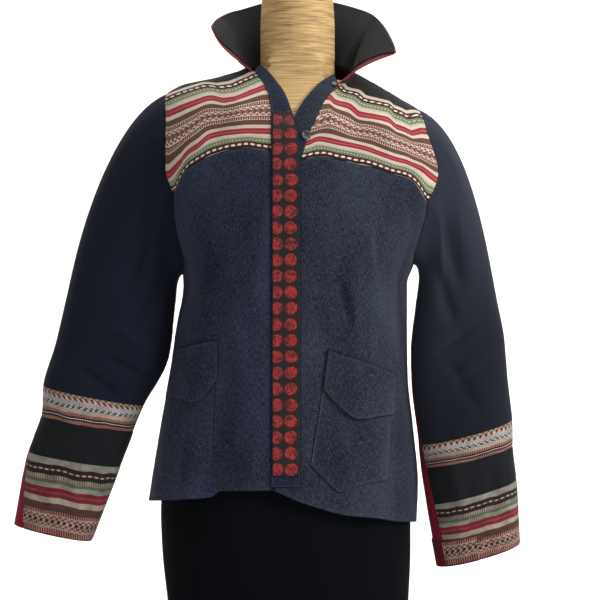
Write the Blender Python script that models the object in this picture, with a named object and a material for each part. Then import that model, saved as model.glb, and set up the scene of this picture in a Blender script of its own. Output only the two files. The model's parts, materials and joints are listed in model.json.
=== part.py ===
"""Hmong embroidered jacket on a limbless dress form.

The jacket is a set of thin cloth walls, cut as a maker cuts them: two fronts, two patterned yokes, a back
and a back yoke, a placket with an applied strip, a button stand, a two-layer stand collar, pockets with
flaps, and two-piece sleeves with applied bands.  All body pieces lie on one worked-out surface.  The form
is a smooth solid just inside that surface at the shoulders, and stands on its flat foot.

Frame: metres, +Z up, the front faces -Y, the origin is the middle of the form's flat foot.
Right and left are the wearer's: the right side is at -X.
"""
import math

import bpy
import numpy as np

# Cloth and seams
WALL = 0.0020
THIN_WALL = 0.0012
SEAM_GAP = 0.0003
LAYER_GAP = 0.0008
UNDERLAP = 0.004
CENTRE_FRONT_X = -0.006
NORMAL_STEP = 1e-4
CURVE_SAMPLES = 200
SHARP_DEGREES = 40.0

# Jacket sections: half widths are measured from the centre front line
SECTION_COLUMNS = ("height", "right_width", "left_width", "front_depth", "back_depth", "power")
JACKET_ROWS = (
    (0.130, 0.208, 0.190, 0.140, 0.126, 2.25),
    (0.200, 0.198, 0.193, 0.136, 0.122, 2.25),
    (0.280, 0.185, 0.186, 0.131, 0.116, 2.25),
    (0.360, 0.171, 0.178, 0.127, 0.110, 2.20),
    (0.430, 0.161, 0.177, 0.125, 0.106, 2.20),
    (0.490, 0.151, 0.177, 0.126, 0.107, 2.20),
    (0.520, 0.155, 0.187, 0.128, 0.110, 2.20),
    (0.560, 0.169, 0.207, 0.131, 0.113, 2.20),
    (0.610, 0.184, 0.230, 0.131, 0.116, 2.20),
    (0.650, 0.194, 0.242, 0.127, 0.116, 2.15),
    (0.700, 0.197, 0.231, 0.114, 0.110, 2.10),
    (0.740, 0.192, 0.203, 0.094, 0.096, 2.10),
    (0.765, 0.181, 0.164, 0.077, 0.081, 2.05),
    (0.782, 0.156, 0.136, 0.062, 0.071, 2.00),
    (0.795, 0.099, 0.113, 0.054, 0.066, 2.00),
    (0.810, 0.059, 0.087, 0.053, 0.067, 2.00),
    (0.832, 0.055, 0.083, 0.053, 0.068, 2.00),
)

# Dress form below the shoulders, same columns
FORM_ROWS = (
    (0.000, 0.170, 0.177, 0.108, 0.106, 2.20),
    (0.030, 0.174, 0.179, 0.112, 0.109, 2.20),
    (0.105, 0.182, 0.182, 0.118, 0.112, 2.20),
    (0.160, 0.184, 0.182, 0.120, 0.112, 2.20),
    (0.280, 0.160, 0.160, 0.112, 0.100, 2.20),
    (0.400, 0.132, 0.138, 0.100, 0.088, 2.20),
    (0.500, 0.138, 0.152, 0.112, 0.096, 2.20),
    (0.600, 0.154, 0.168, 0.122, 0.108, 2.20),
    (0.680, 0.170, 0.180, 0.112, 0.106, 2.15),
    (0.760, 0.172, 0.150, 0.074, 0.078, 2.05),
)
SEAT_GAP = 0.0026
SHOULDER_BLEND = (0.690, 0.750)
FORM_SPLIT_HEIGHT = 0.690
FORM_HEIGHTS = (0.000, 0.030, 0.105, 0.160, 0.220, 0.280, 0.340, 0.400, 0.450, 0.500, 0.550, 0.600, 0.650)
SHOULDER_HEIGHTS = (0.7200, 0.7450, 0.7620, 0.7740, 0.7840, 0.7905, 0.7970, 0.8015, 0.8050)
NECK_COLUMNS = ("height", "radius")
NECK_ROWS = (
    (0.800, 0.0520),
    (0.812, 0.0530),
    (0.822, 0.0545),
    (0.860, 0.0545),
    (0.910, 0.0520),
    (0.930, 0.0490),
    (0.938, 0.0400),
    (0.941, 0.0240),
)
NECK_CENTRE = (0.0104, 0.0000)
FORM_SIDES = 32

# Edges of the body pieces in the front view, (x, height), from hem or centre outwards
PLACKET_OUTER_X = -0.0270
PLACKET_INNER_X = 0.0154
PLACKET_FOOT = 0.204
PLACKET_MIDDLE = 0.450
RIGHT_HEM = ((-0.0230, 0.1996), (-0.0600, 0.1990), (-0.1020, 0.1975), (-0.1130, 0.1890), (-0.1500, 0.1840))
LEFT_HEM = ((-0.0220, 0.1990), (0.0150, 0.1830), (0.0430, 0.1740), (0.0750, 0.1645), (0.1200, 0.1585),
            (0.1600, 0.1500))
RIGHT_SIDE_HEM = 0.1735
LEFT_SIDE_HEM = 0.1430
BACK_HEM = ((-0.1300, 0.1660), (0.0000, 0.1580), (0.1300, 0.1500))
RIGHT_YOKE_SEAM = ((-0.0230, 0.6785), (-0.0410, 0.6810), (-0.0627, 0.6840), (-0.0868, 0.6810),
                   (-0.1110, 0.6740), (-0.1329, 0.6640), (-0.1500, 0.6520), (-0.1674, 0.6206))
LEFT_YOKE_SEAM = ((-0.0220, 0.6550), (0.0154, 0.6657), (0.0437, 0.6710), (0.0720, 0.6660), (0.0935, 0.6610),
                  (0.1162, 0.6570), (0.1450, 0.6475), (0.1720, 0.6400), (0.1970, 0.6090))
BACK_YOKE_SEAM = ((-0.1674, 0.6206), (-0.0900, 0.6260), (0.0060, 0.6280), (0.1100, 0.6200), (0.1970, 0.6090))
RIGHT_ARMHOLE_TOP = ((-0.1674, 0.6206), (-0.1760, 0.6390), (-0.1804, 0.6580), (-0.1804, 0.6926),
                     (-0.1810, 0.7350), (-0.1830, 0.7620))
LEFT_ARMHOLE_TOP = ((0.1970, 0.6090), (0.2050, 0.6220), (0.2140, 0.6520), (0.2090, 0.6780), (0.1996, 0.7050),
                    (0.1930, 0.7320))
# Armhole below the yoke: turn round the body in degrees from centre front, and height
RIGHT_ARMHOLE_LOW = ((-90.0, 0.5050), (-80.0, 0.5080), (-71.5, 0.5170), (-68.0, 0.5340), (-66.0, 0.5560),
                     (-63.8, 0.5780), (-60.6, 0.6000))
LEFT_ARMHOLE_LOW = ((90.0, 0.5200), (80.0, 0.5230), (72.5, 0.5310), (68.5, 0.5460), (65.5, 0.5660),
                    (63.0, 0.5860))
RIGHT_TIP = 0.770
LEFT_TIP = 0.7475
RIGHT_NECK_POINT = 0.8080
LEFT_NECK_POINT = 0.8010
BACK_NECK_DROP = 0.8270
BACK_NECK_POWER = 0.7
RIGHT_BAND_OUTER = ((-0.0270, 0.7290), (-0.0300, 0.7570), (-0.0400, 0.7830), (-0.0520, 0.7990))
RIGHT_BAND_INNER = ((0.0154, 0.6600), (0.0125, 0.7050), (0.0040, 0.7310), (-0.0073, 0.7630),
                    (-0.0204, 0.7830), (-0.0306, 0.7970), (-0.0430, 0.8080))
LEFT_BAND_OUTER = ((0.0154, 0.6657), (0.0210, 0.6840), (0.0253, 0.7026), (0.0350, 0.7210), (0.0450, 0.7450),
                   (0.0570, 0.7630), (0.0710, 0.7750))
LEFT_BAND_INNER = ((0.0020, 0.7200), (0.0110, 0.7400), (0.0254, 0.7620), (0.0440, 0.7830), (0.0640, 0.7960))
STRIP_OUTER = ((-0.0241, 0.2210), (-0.0241, 0.7200), (-0.0262, 0.7500))
STRIP_INNER = ((0.0126, 0.2210), (0.0126, 0.6600), (0.0100, 0.7020), (0.0010, 0.7300), (-0.0080, 0.7500))

# Pockets and flaps in the front view: top edge and bottom edge, from the centre front side outwards
LEFT_FLAP_TOP = ((0.0535, 0.3988), (0.0890, 0.3860), (0.1205, 0.3750), (0.1527, 0.3605))
LEFT_FLAP_FOOT = ((0.0465, 0.3420), (0.0677, 0.3180), (0.0960, 0.2985), (0.1205, 0.3010), (0.1486, 0.3035))
LEFT_POCKET_TOP = ((0.0540, 0.3880), (0.0890, 0.3760), (0.1205, 0.3650), (0.1500, 0.3520))
LEFT_POCKET_FOOT = ((0.0295, 0.2350), (0.0507, 0.2137), (0.0733, 0.1960), (0.0903, 0.2040), (0.1395, 0.2125))
RIGHT_FLAP_TOP = ((-0.1020, 0.4115), (-0.1250, 0.4070), (-0.1480, 0.4010), (-0.1670, 0.3945))
RIGHT_FLAP_FOOT = ((-0.1030, 0.3570), (-0.1130, 0.3390), (-0.1330, 0.3205), (-0.1530, 0.3240), (-0.1770, 0.3260))
RIGHT_POCKET_TOP = ((-0.1040, 0.4000), (-0.1260, 0.3960), (-0.1480, 0.3900), (-0.1660, 0.3840))
RIGHT_POCKET_FOOT = ((-0.1120, 0.2360), (-0.1300, 0.2180), (-0.1480, 0.2040), (-0.1660, 0.2100),
                     (-0.1920, 0.2160))
STRIP_COLUMNS = 3
PLACKET_ROWS = 20
DOTTED_ROWS = 18
STAND_COLUMNS = 2
POCKET_COLUMNS = 8
POCKET_ROWS = 6
FLAP_ROWS = 4

# Hanging folds: a trough (negative) or ridge (positive) along a line, on the front (+1) or the back (-1)
FOLD_EASE_IN = (0.0, 0.9)
FOLD_FACING = (0.0, 0.35)
FOLD_COLUMNS = ("face", "top_x", "top_z", "low_x", "low_z", "half_width", "height")
FOLD_ROWS = (
    (1, -0.0800, 0.630, -0.1080, 0.130, 0.020, -0.0060),
    (1, -0.0500, 0.560, -0.0700, 0.130, 0.026, 0.0035),
    (1, -0.1250, 0.560, -0.1450, 0.130, 0.020, 0.0030),
    (1, 0.0700, 0.600, 0.0480, 0.130, 0.024, -0.0030),
    (1, 0.1050, 0.560, 0.1150, 0.130, 0.026, 0.0035),
    (1, 0.1420, 0.580, 0.1560, 0.130, 0.018, -0.0035),
    (-1, -0.1150, 0.600, -0.1400, 0.130, 0.022, -0.0045),
    (-1, -0.0500, 0.560, -0.0600, 0.130, 0.028, 0.0040),
    (-1, 0.0200, 0.560, 0.0150, 0.130, 0.026, -0.0040),
    (-1, 0.0850, 0.600, 0.1000, 0.130, 0.026, 0.0040),
    (-1, 0.1400, 0.560, 0.1550, 0.130, 0.020, -0.0035),
)

# Collar rim by turn round the neck, 0 at the back and negative on the wearer's right; the seam is the neckline
COLLAR_COLUMNS = ("turn", "rim_turn", "rim_radius", "rim_z")
COLLAR_ROWS = (
    (-118.0, -113.5, 0.1400, 0.8680),
    (-90.0, -91.0, 0.1230, 0.8750),
    (-60.0, -61.0, 0.1100, 0.8880),
    (-30.0, -30.0, 0.0970, 0.9050),
    (0.0, 0.0, 0.0900, 0.9130),
    (30.0, 30.0, 0.0970, 0.9050),
    (60.0, 60.0, 0.1110, 0.8880),
    (90.0, 88.0, 0.1240, 0.8640),
    (117.0, 110.5, 0.1460, 0.8240),
)
COLLAR_CENTRE = (0.0145, 0.0000)
COLLAR_LIFT = 0.0010
COLLAR_INSET = 0.0004
COLLAR_FLARE = 0.006
NECK_EDGE_POINTS = 6
COLLAR_STEPS_ROUND = 24
COLLAR_STEPS_UP = 3

# Sleeve rings from just below the armhole to the cuff: centre, half width, half depth, tilt, front drop
RING_COLUMNS = ("x", "y", "z", "half_width", "half_depth", "tilt", "drop")
RIGHT_RINGS = (
    (-0.2480, -0.0060, 0.4680, 0.0800, 0.0540, 3.0, 0.00),
    (-0.2610, -0.0120, 0.3925, 0.0835, 0.0500, 6.5, 0.02),
    (-0.2869, -0.0200, 0.3293, 0.0749, 0.0460, 11.0, 0.05),
    (-0.2956, -0.0230, 0.2890, 0.0683, 0.0440, 9.5, 0.05),
    (-0.3140, -0.0270, 0.2376, 0.0680, 0.0420, 9.6, 0.05),
    (-0.3446, -0.0320, 0.1312, 0.0580, 0.0370, 12.5, 0.05),
)
LEFT_RINGS = (
    (0.2430, -0.0060, 0.4680, 0.0590, 0.0540, 2.0, 0.00),
    (0.2445, -0.0120, 0.4000, 0.0690, 0.0500, 7.0, 0.04),
    (0.2470, -0.0160, 0.3490, 0.0705, 0.0480, 10.0, 0.08),
    (0.2552, -0.0200, 0.2772, 0.0706, 0.0460, 14.5, 0.12),
    (0.2570, -0.0220, 0.2413, 0.0688, 0.0450, 13.0, 0.12),
    (0.2635, -0.0250, 0.1905, 0.0680, 0.0430, 15.0, 0.12),
    (0.2738, -0.0300, 0.0996, 0.0623, 0.0390, 15.0, 0.12),
)
# Two sleeve seams as turns round the ring, at the armhole and at the cuff: 0 outer, 90 front, 180 inner
RIGHT_SEAMS = ((180.0, 236.0), (250.0, 399.0))
LEFT_SEAMS = ((180.0, 138.0), (250.0, 292.0))
CAP_STEPS = 4
RING_STEPS = 6
BAND_STEPS = 1
CUFF_STEPS = 3
SLEEVE_POWER = 2.2
# Direction in which the cap leaves the armhole, its share of the sweep away from the seam, and its pull
CAP_DROP = -0.55
CAP_SWEEP = 0.45
CAP_PULL = 0.8
SEAM_AGREES = 0.8
TURNED_CUFF = {"start": 0.62, "first": 205.0, "last": 92.0, "lift": 0.0008, "rows": 3, "columns": 8}

# Fasteners
BUTTON_PLACE = (0.0230, 0.7010)
BUTTON_RADIUS = 0.0070
BUTTON_THICKNESS = 0.0026
SNAP_PLACE = (0.0630, 0.7790)
SNAP_RADIUS = 0.0038
SNAP_THICKNESS = 0.0016
FASTENER_COLUMNS = ("radius_share", "height_share")
FASTENER_PROFILE = ((0.80, 0.0), (1.0, 0.30), (1.0, 0.70), (0.86, 1.0), (0.60, 0.80))
FASTENER_SIDES = 14

# Colours: red, green, blue, roughness
DENIM_RIGHT = (0.030, 0.042, 0.075, 0.92)
DENIM_LEFT = (0.042, 0.056, 0.090, 0.92)
NAVY = (0.008, 0.012, 0.026, 0.90)
BLACK_CLOTH = (0.008, 0.009, 0.012, 0.90)
BURGUNDY = (0.160, 0.008, 0.028, 0.85)
STRIPED = (0.520, 0.330, 0.270, 0.88)
DARK_RED = (0.300, 0.040, 0.040, 0.88)
STRIP_BLACK = (0.020, 0.010, 0.010, 0.80)
TRIM = (0.400, 0.360, 0.340, 0.80)
STRAW = (0.560, 0.380, 0.170, 0.75)
FORM_BLACK = (0.010, 0.012, 0.018, 0.85)
SMOKE = (0.030, 0.030, 0.035, 0.25)


def column(rows, columns, name):
    """One named column of a table, as an array."""
    return np.array([row[columns.index(name)] for row in rows], float)


def smooth(at, places, values):
    """Monotone cubic through the table points: slopes are harmonic means, so it never overshoots."""
    places = np.asarray(places, float)
    values = np.asarray(values, float)
    slopes = np.diff(values) / np.diff(places)
    tangents = np.zeros(len(values))
    tangents[0] = slopes[0]
    tangents[-1] = slopes[-1]
    product = slopes[:-1] * slopes[1:]
    total = np.where(product > 0, slopes[:-1] + slopes[1:], 1.0)
    tangents[1:-1] = np.where(product > 0, 2 * product / total, 0.0)
    at = np.clip(at, places[0], places[-1])
    cell = np.clip(np.searchsorted(places, at, side="right") - 1, 0, len(places) - 2)
    width = places[cell + 1] - places[cell]
    t = (at - places[cell]) / width
    start = (1 + 2 * t) * (1 - t) ** 2 * values[cell] + t * (1 - t) ** 2 * width * tangents[cell]
    end = t * t * (3 - 2 * t) * values[cell + 1] + t * t * (t - 1) * width * tangents[cell + 1]
    return start + end


def ease(at, low, high):
    """0 below low, 1 above high, and a smooth S between."""
    t = np.clip((np.asarray(at, float) - low) / (high - low), 0, 1)
    return t * t * (3 - 2 * t)


def section(height, rows):
    """Half widths, depths and power of a sectioned body at the given heights."""
    heights = column(rows, SECTION_COLUMNS, "height")
    return {name: smooth(height, heights, column(rows, SECTION_COLUMNS, name)) for name in SECTION_COLUMNS[1:]}


def body_point(angle, height, rows):
    """Superellipse section: x = width * sin / n, y = -depth * cos / n, n = (|sin|^p + |cos|^p)^(1/p)."""
    size = section(height, rows)
    across = np.sin(angle)
    forward = np.cos(angle)
    width = np.where(across >= 0, size["left_width"], size["right_width"])
    depth = np.where(forward >= 0, size["front_depth"], size["back_depth"])
    power = size["power"]
    spread = (np.abs(across) ** power + np.abs(forward) ** power) ** (1 / power)
    x = CENTRE_FRONT_X + width * across / spread
    y = -depth * forward / spread
    return np.stack([x, y, height + 0 * x], axis=-1)


def unit(vectors):
    """Vectors scaled to length one."""
    return vectors / np.maximum(np.linalg.norm(vectors, axis=-1, keepdims=True), 1e-12)


def body_normal(angle, height, rows):
    """Outward normal: the step round the body crossed with the step up it."""
    around = body_point(angle + NORMAL_STEP, height, rows) - body_point(angle - NORMAL_STEP, height, rows)
    up = body_point(angle, height + NORMAL_STEP, rows) - body_point(angle, height - NORMAL_STEP, rows)
    return unit(np.cross(around, up))


def front_angle(x, height, face=1.0):
    """Angle of the jacket point seen at x in the front view (face +1) or the back view (face -1)."""
    size = section(height, JACKET_ROWS)
    reach = np.asarray(x) - CENTRE_FRONT_X
    width = np.where(reach >= 0, size["left_width"], size["right_width"])
    share = np.clip(np.abs(reach) / width, 0, 1) ** size["power"]
    turn = np.arctan2(share ** (1 / size["power"]), (1 - share) ** (1 / size["power"]))
    turn = np.where(face > 0, turn, math.pi - turn)
    return np.where(reach >= 0, turn, -turn)


def fold_height(points, angle):
    """Sum of the folds: a bell across each fold's line, eased in over its top third."""
    total = np.zeros(points.shape[:-1])
    facing = np.cos(angle)
    for face, top_x, top_z, low_x, low_z, half_width, height in FOLD_ROWS:
        share = (top_z - points[..., 2]) / (top_z - low_z)
        line_x = top_x + (low_x - top_x) * share
        bell = np.exp(-(((points[..., 0] - line_x) / half_width) ** 2))
        total += height * bell * ease(share, *FOLD_EASE_IN) * ease(face * facing, *FOLD_FACING)
    return total


def cloth_point(angle, height, out=0.0):
    """Point on the jacket's outer face, with its folds, moved out along the plain surface's normal."""
    plain = body_point(angle, height, JACKET_ROWS)
    normal = body_normal(angle, height, JACKET_ROWS)
    return plain + normal * (fold_height(plain, angle) + out)[..., None]


def along(points, count=None, shares=None):
    """Even (or given) shares of the length of a smooth curve through two or more points."""
    points = np.asarray(points, float)
    run = np.concatenate([[0], np.cumsum(np.linalg.norm(np.diff(points, axis=0), axis=1))])
    shares = np.linspace(0, 1, count) if shares is None else np.asarray(shares)
    return np.stack([smooth(shares * run[-1], run, points[:, i]) for i in range(points.shape[1])], axis=-1)


def patch(bottom, top, start, end, across, up):
    """Coons patch: the two edge blends added, less the corners' blend."""
    u = across[None, :, None]
    v = up[:, None, None]
    rows = (1 - v) * bottom[None] + v * top[None]
    cols = (1 - u) * start[:, None] + u * end[:, None]
    corners = (1 - u) * ((1 - v) * bottom[0] + v * top[0]) + u * ((1 - v) * bottom[-1] + v * top[-1])
    return rows + cols - corners


def pull_in(grid, distance, sides="brse"):
    """Grid with its bottom, top, start and end edges moved inwards, so that seams keep a gap."""
    grid = grid.copy()
    source = grid.copy()
    if "b" in sides:
        grid[0] += unit(source[1] - source[0]) * distance
    if "t" in sides:
        grid[-1] += unit(source[-2] - source[-1]) * distance
    if "s" in sides:
        grid[:, 0] += unit(source[:, 1] - source[:, 0]) * distance
    if "e" in sides:
        grid[:, -1] += unit(source[:, -2] - source[:, -1]) * distance
    return grid


def make_material(name, colour):
    """Principled material with the piece's colour and roughness."""
    material = bpy.data.materials.new(name)
    material.use_nodes = True
    shader = material.node_tree.nodes["Principled BSDF"]
    shader.inputs["Base Color"].default_value = (*colour[:3], 1.0)
    shader.inputs["Roughness"].default_value = colour[3]
    shader.inputs["Metallic"].default_value = 0.0
    material.diffuse_color = (*colour[:3], 1.0)
    return material


def add_object(name, points, faces, colour):
    """Mesh object from points and faces, turned to face out, with its own material."""
    points = np.asarray(points, float)
    volume = 0.0
    for face in faces:
        for second, third in zip(face[1:-1], face[2:]):
            volume += np.dot(points[face[0]], np.cross(points[second], points[third]))
    if volume < 0:
        faces = [tuple(reversed(face)) for face in faces]
    mesh = bpy.data.meshes.new(name)
    mesh.from_pydata([tuple(point) for point in points], [], faces)
    mesh.validate()
    mesh.shade_smooth()
    mesh.set_sharp_from_angle(angle=math.radians(SHARP_DEGREES))
    mesh.materials.append(make_material(name, colour))
    piece = bpy.data.objects.new(name, mesh)
    bpy.context.scene.collection.objects.link(piece)
    return piece


def add_wall(name, inside, outside, colour):
    """Closed wall between two grids of the same shape: every cell is cut along the same diagonal."""
    rows, cols = outside.shape[:2]
    points = np.concatenate([inside.reshape(-1, 3), outside.reshape(-1, 3)])
    index = np.arange(rows * cols).reshape(rows, cols)
    shift = rows * cols
    faces = []
    for i in range(rows - 1):
        for j in range(cols - 1):
            near, right, far, left = index[i, j], index[i, j + 1], index[i + 1, j + 1], index[i + 1, j]
            for cell in ((near, right, far), (near, far, left)):
                faces.append(tuple(int(k) + shift for k in cell))
                faces.append(tuple(int(k) for k in reversed(cell)))
    loop = list(index[0, :]) + list(index[1:, -1]) + list(index[-1, -2::-1]) + list(index[-2:0:-1, 0])
    for here, there in zip(loop, loop[1:] + loop[:1]):
        here, there = int(here), int(there)
        if here < there:
            faces += [(here, there, there + shift), (here, there + shift, here + shift)]
        else:
            faces += [(here, there, here + shift), (there, there + shift, here + shift)]
    return add_object(name, points, faces, colour)


def add_stack(name, rings, colour):
    """Closed solid through stacked rings, its two ends closed by flat or domed fans."""
    count, sides = rings.shape[:2]
    points = list(rings.reshape(-1, 3))
    faces = []
    for i in range(count - 1):
        for j in range(sides):
            k = (j + 1) % sides
            faces.append((i * sides + j, i * sides + k, (i + 1) * sides + k))
            faces.append((i * sides + j, (i + 1) * sides + k, (i + 1) * sides + j))
    for ring in (0, count - 1):
        points.append(rings[ring].mean(axis=0))
        hub = len(points) - 1
        for j in range(sides):
            faces.append((ring * sides + (j + 1) % sides, ring * sides + j, hub)[:: 1 if ring == 0 else -1])
    return add_object(name, points, faces, colour)


def add_cloth(name, plane, colour, low=-WALL, high=0.0, sides="btse"):
    """Wall on the jacket surface from a grid of (angle, height), between two distances from it."""
    angle = plane[..., 0]
    height = plane[..., 1]
    inside = cloth_point(angle, height, low + np.zeros_like(angle))
    outside = cloth_point(angle, height, high + np.zeros_like(angle))
    inside = pull_in(inside, SEAM_GAP / 2, sides)
    outside = pull_in(outside, SEAM_GAP / 2, sides)
    return add_wall(name, inside, outside, colour)


def view_grid(bottom, top, start, end, across, up, face=1.0):
    """Grid of (angle, height) from four edges given in the front or back view as (x, height)."""
    seen = patch(bottom, top, start, end, across, up)
    return np.stack([front_angle(seen[..., 0], seen[..., 1], face), seen[..., 1]], axis=-1)


def angle_edge(points, face=1.0):
    """Edge given in the front or back view, turned into (angle, height)."""
    points = np.asarray(points, float)
    return np.stack([front_angle(points[:, 0], points[:, 1], face), points[:, 1]], axis=-1)


SIDES = {
    "right": {
        "hem": RIGHT_HEM, "side_hem": RIGHT_SIDE_HEM,
        "low": RIGHT_ARMHOLE_LOW, "seam": RIGHT_YOKE_SEAM, "top": RIGHT_ARMHOLE_TOP, "tip": RIGHT_TIP,
        "neck": RIGHT_NECK_POINT, "rings": RIGHT_RINGS, "seams": RIGHT_SEAMS, "band": 2, "out": -1.0,
    },
    "left": {
        "hem": LEFT_HEM, "side_hem": LEFT_SIDE_HEM,
        "low": LEFT_ARMHOLE_LOW, "seam": LEFT_YOKE_SEAM, "top": LEFT_ARMHOLE_TOP, "tip": LEFT_TIP,
        "neck": LEFT_NECK_POINT, "rings": LEFT_RINGS, "seams": LEFT_SEAMS, "band": 3, "out": 1.0,
    },
}
SEAM_STEPS = 12
LOW_STEPS = 6
YOKE_COLUMNS = 12
LEFT_LAP_COLUMNS = 2
LEFT_BAND_STEPS = 5
YOKE_STEPS = 7
BACK_COLUMNS = 18
RIDGE_COLUMNS = 5
RIDGE_CROWDING = 2.0


def side_seam(side):
    """Side seam from hem to armpit, as (angle, height)."""
    turn, armpit = side["low"][0]
    heights = np.linspace(side["side_hem"], armpit, SEAM_STEPS + 1)
    return np.stack([np.full_like(heights, math.radians(turn)), heights], axis=-1)


def low_armhole(side):
    """Armhole from the armpit up to the front yoke's corner, as (angle, height)."""
    low = np.array(side["low"])
    low[:, 0] = np.radians(low[:, 0])
    return even_on_body(np.concatenate([low, angle_edge(side["seam"][-1:])]), LOW_STEPS + 1)


def even_on_body(plane, count):
    """Points of an (angle, height) curve, evenly spaced along its length on the body."""
    dense = along(plane, CURVE_SAMPLES)
    place = body_point(dense[:, 0], dense[:, 1], JACKET_ROWS)
    run = np.concatenate([[0], np.cumsum(np.linalg.norm(np.diff(place, axis=0), axis=1))])
    even = np.linspace(0, run[-1], count)
    return np.stack([np.interp(even, run, dense[:, i]) for i in range(2)], axis=-1)


def behind(edge):
    """The same heights on the back: the angle is mirrored about the side seam, at the same x."""
    seen = body_point(edge[:, 0], edge[:, 1], JACKET_ROWS)
    return np.stack([front_angle(seen[:, 0], edge[:, 1], -1.0), edge[:, 1]], axis=-1)


def armhole_top(side):
    """Yoke's armhole edge from its lower corner to the shoulder tip, rows crowded towards the ridge."""
    rows = ridge_rows()
    tip = (CENTRE_FRONT_X + side["out"] * tip_width(side), side["tip"])
    return along((*side["top"], tip), shares=rows)


def ridge_rows():
    """Row shares that crowd towards the shoulder ridge, where the surface turns over."""
    return 1 - (1 - np.linspace(0, 1, YOKE_STEPS + 1)) ** RIDGE_CROWDING


def tip_width(side):
    """Half width of the jacket at the shoulder tip."""
    size = section(np.array([side["tip"]]), JACKET_ROWS)
    return float(size["left_width" if side["out"] > 0 else "right_width"][0])


def ridge(side, count):
    """Shoulder ridge from the neck point to the tip, in the front view: the section's extreme point."""
    dense = np.linspace(side["neck"], side["tip"], CURVE_SAMPLES)
    width = section(dense, JACKET_ROWS)["left_width" if side["out"] > 0 else "right_width"]
    curve = np.stack([CENTRE_FRONT_X + side["out"] * width, dense], axis=-1)
    run = np.concatenate([[0], np.cumsum(np.linalg.norm(np.diff(curve, axis=0), axis=1))])
    even = np.linspace(0, run[-1], count)
    return np.stack([np.interp(even, run, curve[:, 0]), np.interp(even, run, curve[:, 1])], axis=-1)


def build_front(name, colour):
    """Denim front: its top edge follows the yoke seam, then the armhole down to the armpit."""
    side = SIDES[name]
    seam = yoke_seam(side)
    if name == "left":
        lap = along((side["seam"][0], seam[0]), LEFT_LAP_COLUMNS + 1)
        seam = np.concatenate([lap[:-1], seam])
    top = np.concatenate([angle_edge(seam), low_armhole(side)[::-1][1:]])
    end = side_seam(side)
    up = np.linspace(0, 1, SEAM_STEPS + 1)
    run = np.cumsum(np.linalg.norm(np.diff(body_point(top[:, 0], top[:, 1], JACKET_ROWS), axis=0), axis=1))
    across = np.concatenate([[0], run / run[-1]])
    hem = np.concatenate([angle_edge(side["hem"]), end[:1]])
    bottom = along(hem, shares=across)
    inner_x = side["hem"][0][0]
    heights = bottom[0, 1] + (top[0, 1] - bottom[0, 1]) * up
    start = np.stack([front_angle(inner_x, heights), heights], axis=-1)
    add_cloth(f"front_{name}", patch(bottom, top, start, end, across, up), colour)


def yoke_seam(side):
    """Seam between front and yoke in the front view, at the yoke's columns."""
    points = side["seam"] if side["out"] < 0 else side["seam"][1:]
    return along(points, YOKE_COLUMNS + 1)


def yoke_inner_edge(side, top):
    """Yoke's edge beside the neck band, then beside the collar up to the shoulder ridge."""
    if side["out"] < 0:
        lapped = [(x + UNDERLAP, z) for x, z in RIGHT_BAND_OUTER[:-1]]
        return along((side["seam"][0], *lapped, RIGHT_BAND_OUTER[-1], top), shares=ridge_rows())
    rows = ridge_rows()
    split = rows[LEFT_BAND_STEPS]
    band = along(LEFT_BAND_OUTER, shares=rows[: LEFT_BAND_STEPS + 1] / split)
    neck = along((LEFT_BAND_OUTER[-1], top), shares=(rows[LEFT_BAND_STEPS:] - split) / (1 - split))
    return np.concatenate([band, neck[1:]])


def build_yoke(name):
    """Striped yoke from the front seam up to the shoulder ridge."""
    side = SIDES[name]
    across = np.linspace(0, 1, YOKE_COLUMNS + 1)
    up = ridge_rows()
    bottom = yoke_seam(side)
    top = ridge(side, YOKE_COLUMNS + 1)
    start = yoke_inner_edge(side, tuple(top[0]))
    add_cloth(f"yoke_{name}", view_grid(bottom, top, start, armhole_top(side), across, up), STRIPED)


def wrapped(edge):
    """Angles of the wearer's right side taken past half a turn, so that the back runs without a jump."""
    edge = edge.copy()
    edge[:, 0] = np.where(edge[:, 0] < 0, edge[:, 0] + 2 * math.pi, edge[:, 0])
    return edge


def back_armhole(side):
    """Armhole on the back from the armpit up to the back yoke's corner."""
    return wrapped(behind(low_armhole(side)))


def build_back():
    """Denim back in one piece: side seam, armhole, back yoke seam, armhole and side seam round its edge."""
    right = back_armhole(SIDES["right"])
    left = back_armhole(SIDES["left"])
    seam = back_seam(np.linspace(0, 1, BACK_COLUMNS + 1), right[-1], left[-1])
    top = np.concatenate([right, seam[1:-1], left[::-1]])
    start = wrapped(side_seam(SIDES["right"]))
    end = side_seam(SIDES["left"])
    up = np.linspace(0, 1, SEAM_STEPS + 1)
    run = np.cumsum(np.linalg.norm(np.diff(body_point(top[:, 0], top[:, 1], JACKET_ROWS), axis=0), axis=1))
    across = np.concatenate([[0], run / run[-1]])
    bottom = along(np.concatenate([start[:1], wrapped(angle_edge(BACK_HEM, -1.0)), end[:1]]), shares=across)
    add_cloth("back_body", patch(bottom, top, start, end, across, up), DENIM_LEFT)


def back_seam(across, start, end):
    """Seam between back and back yoke, as (angle, height) from the right armhole to the left."""
    seam = wrapped(angle_edge(BACK_YOKE_SEAM[1:-1], -1.0))
    return along(np.concatenate([start[None], seam, end[None]]), shares=across)


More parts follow.
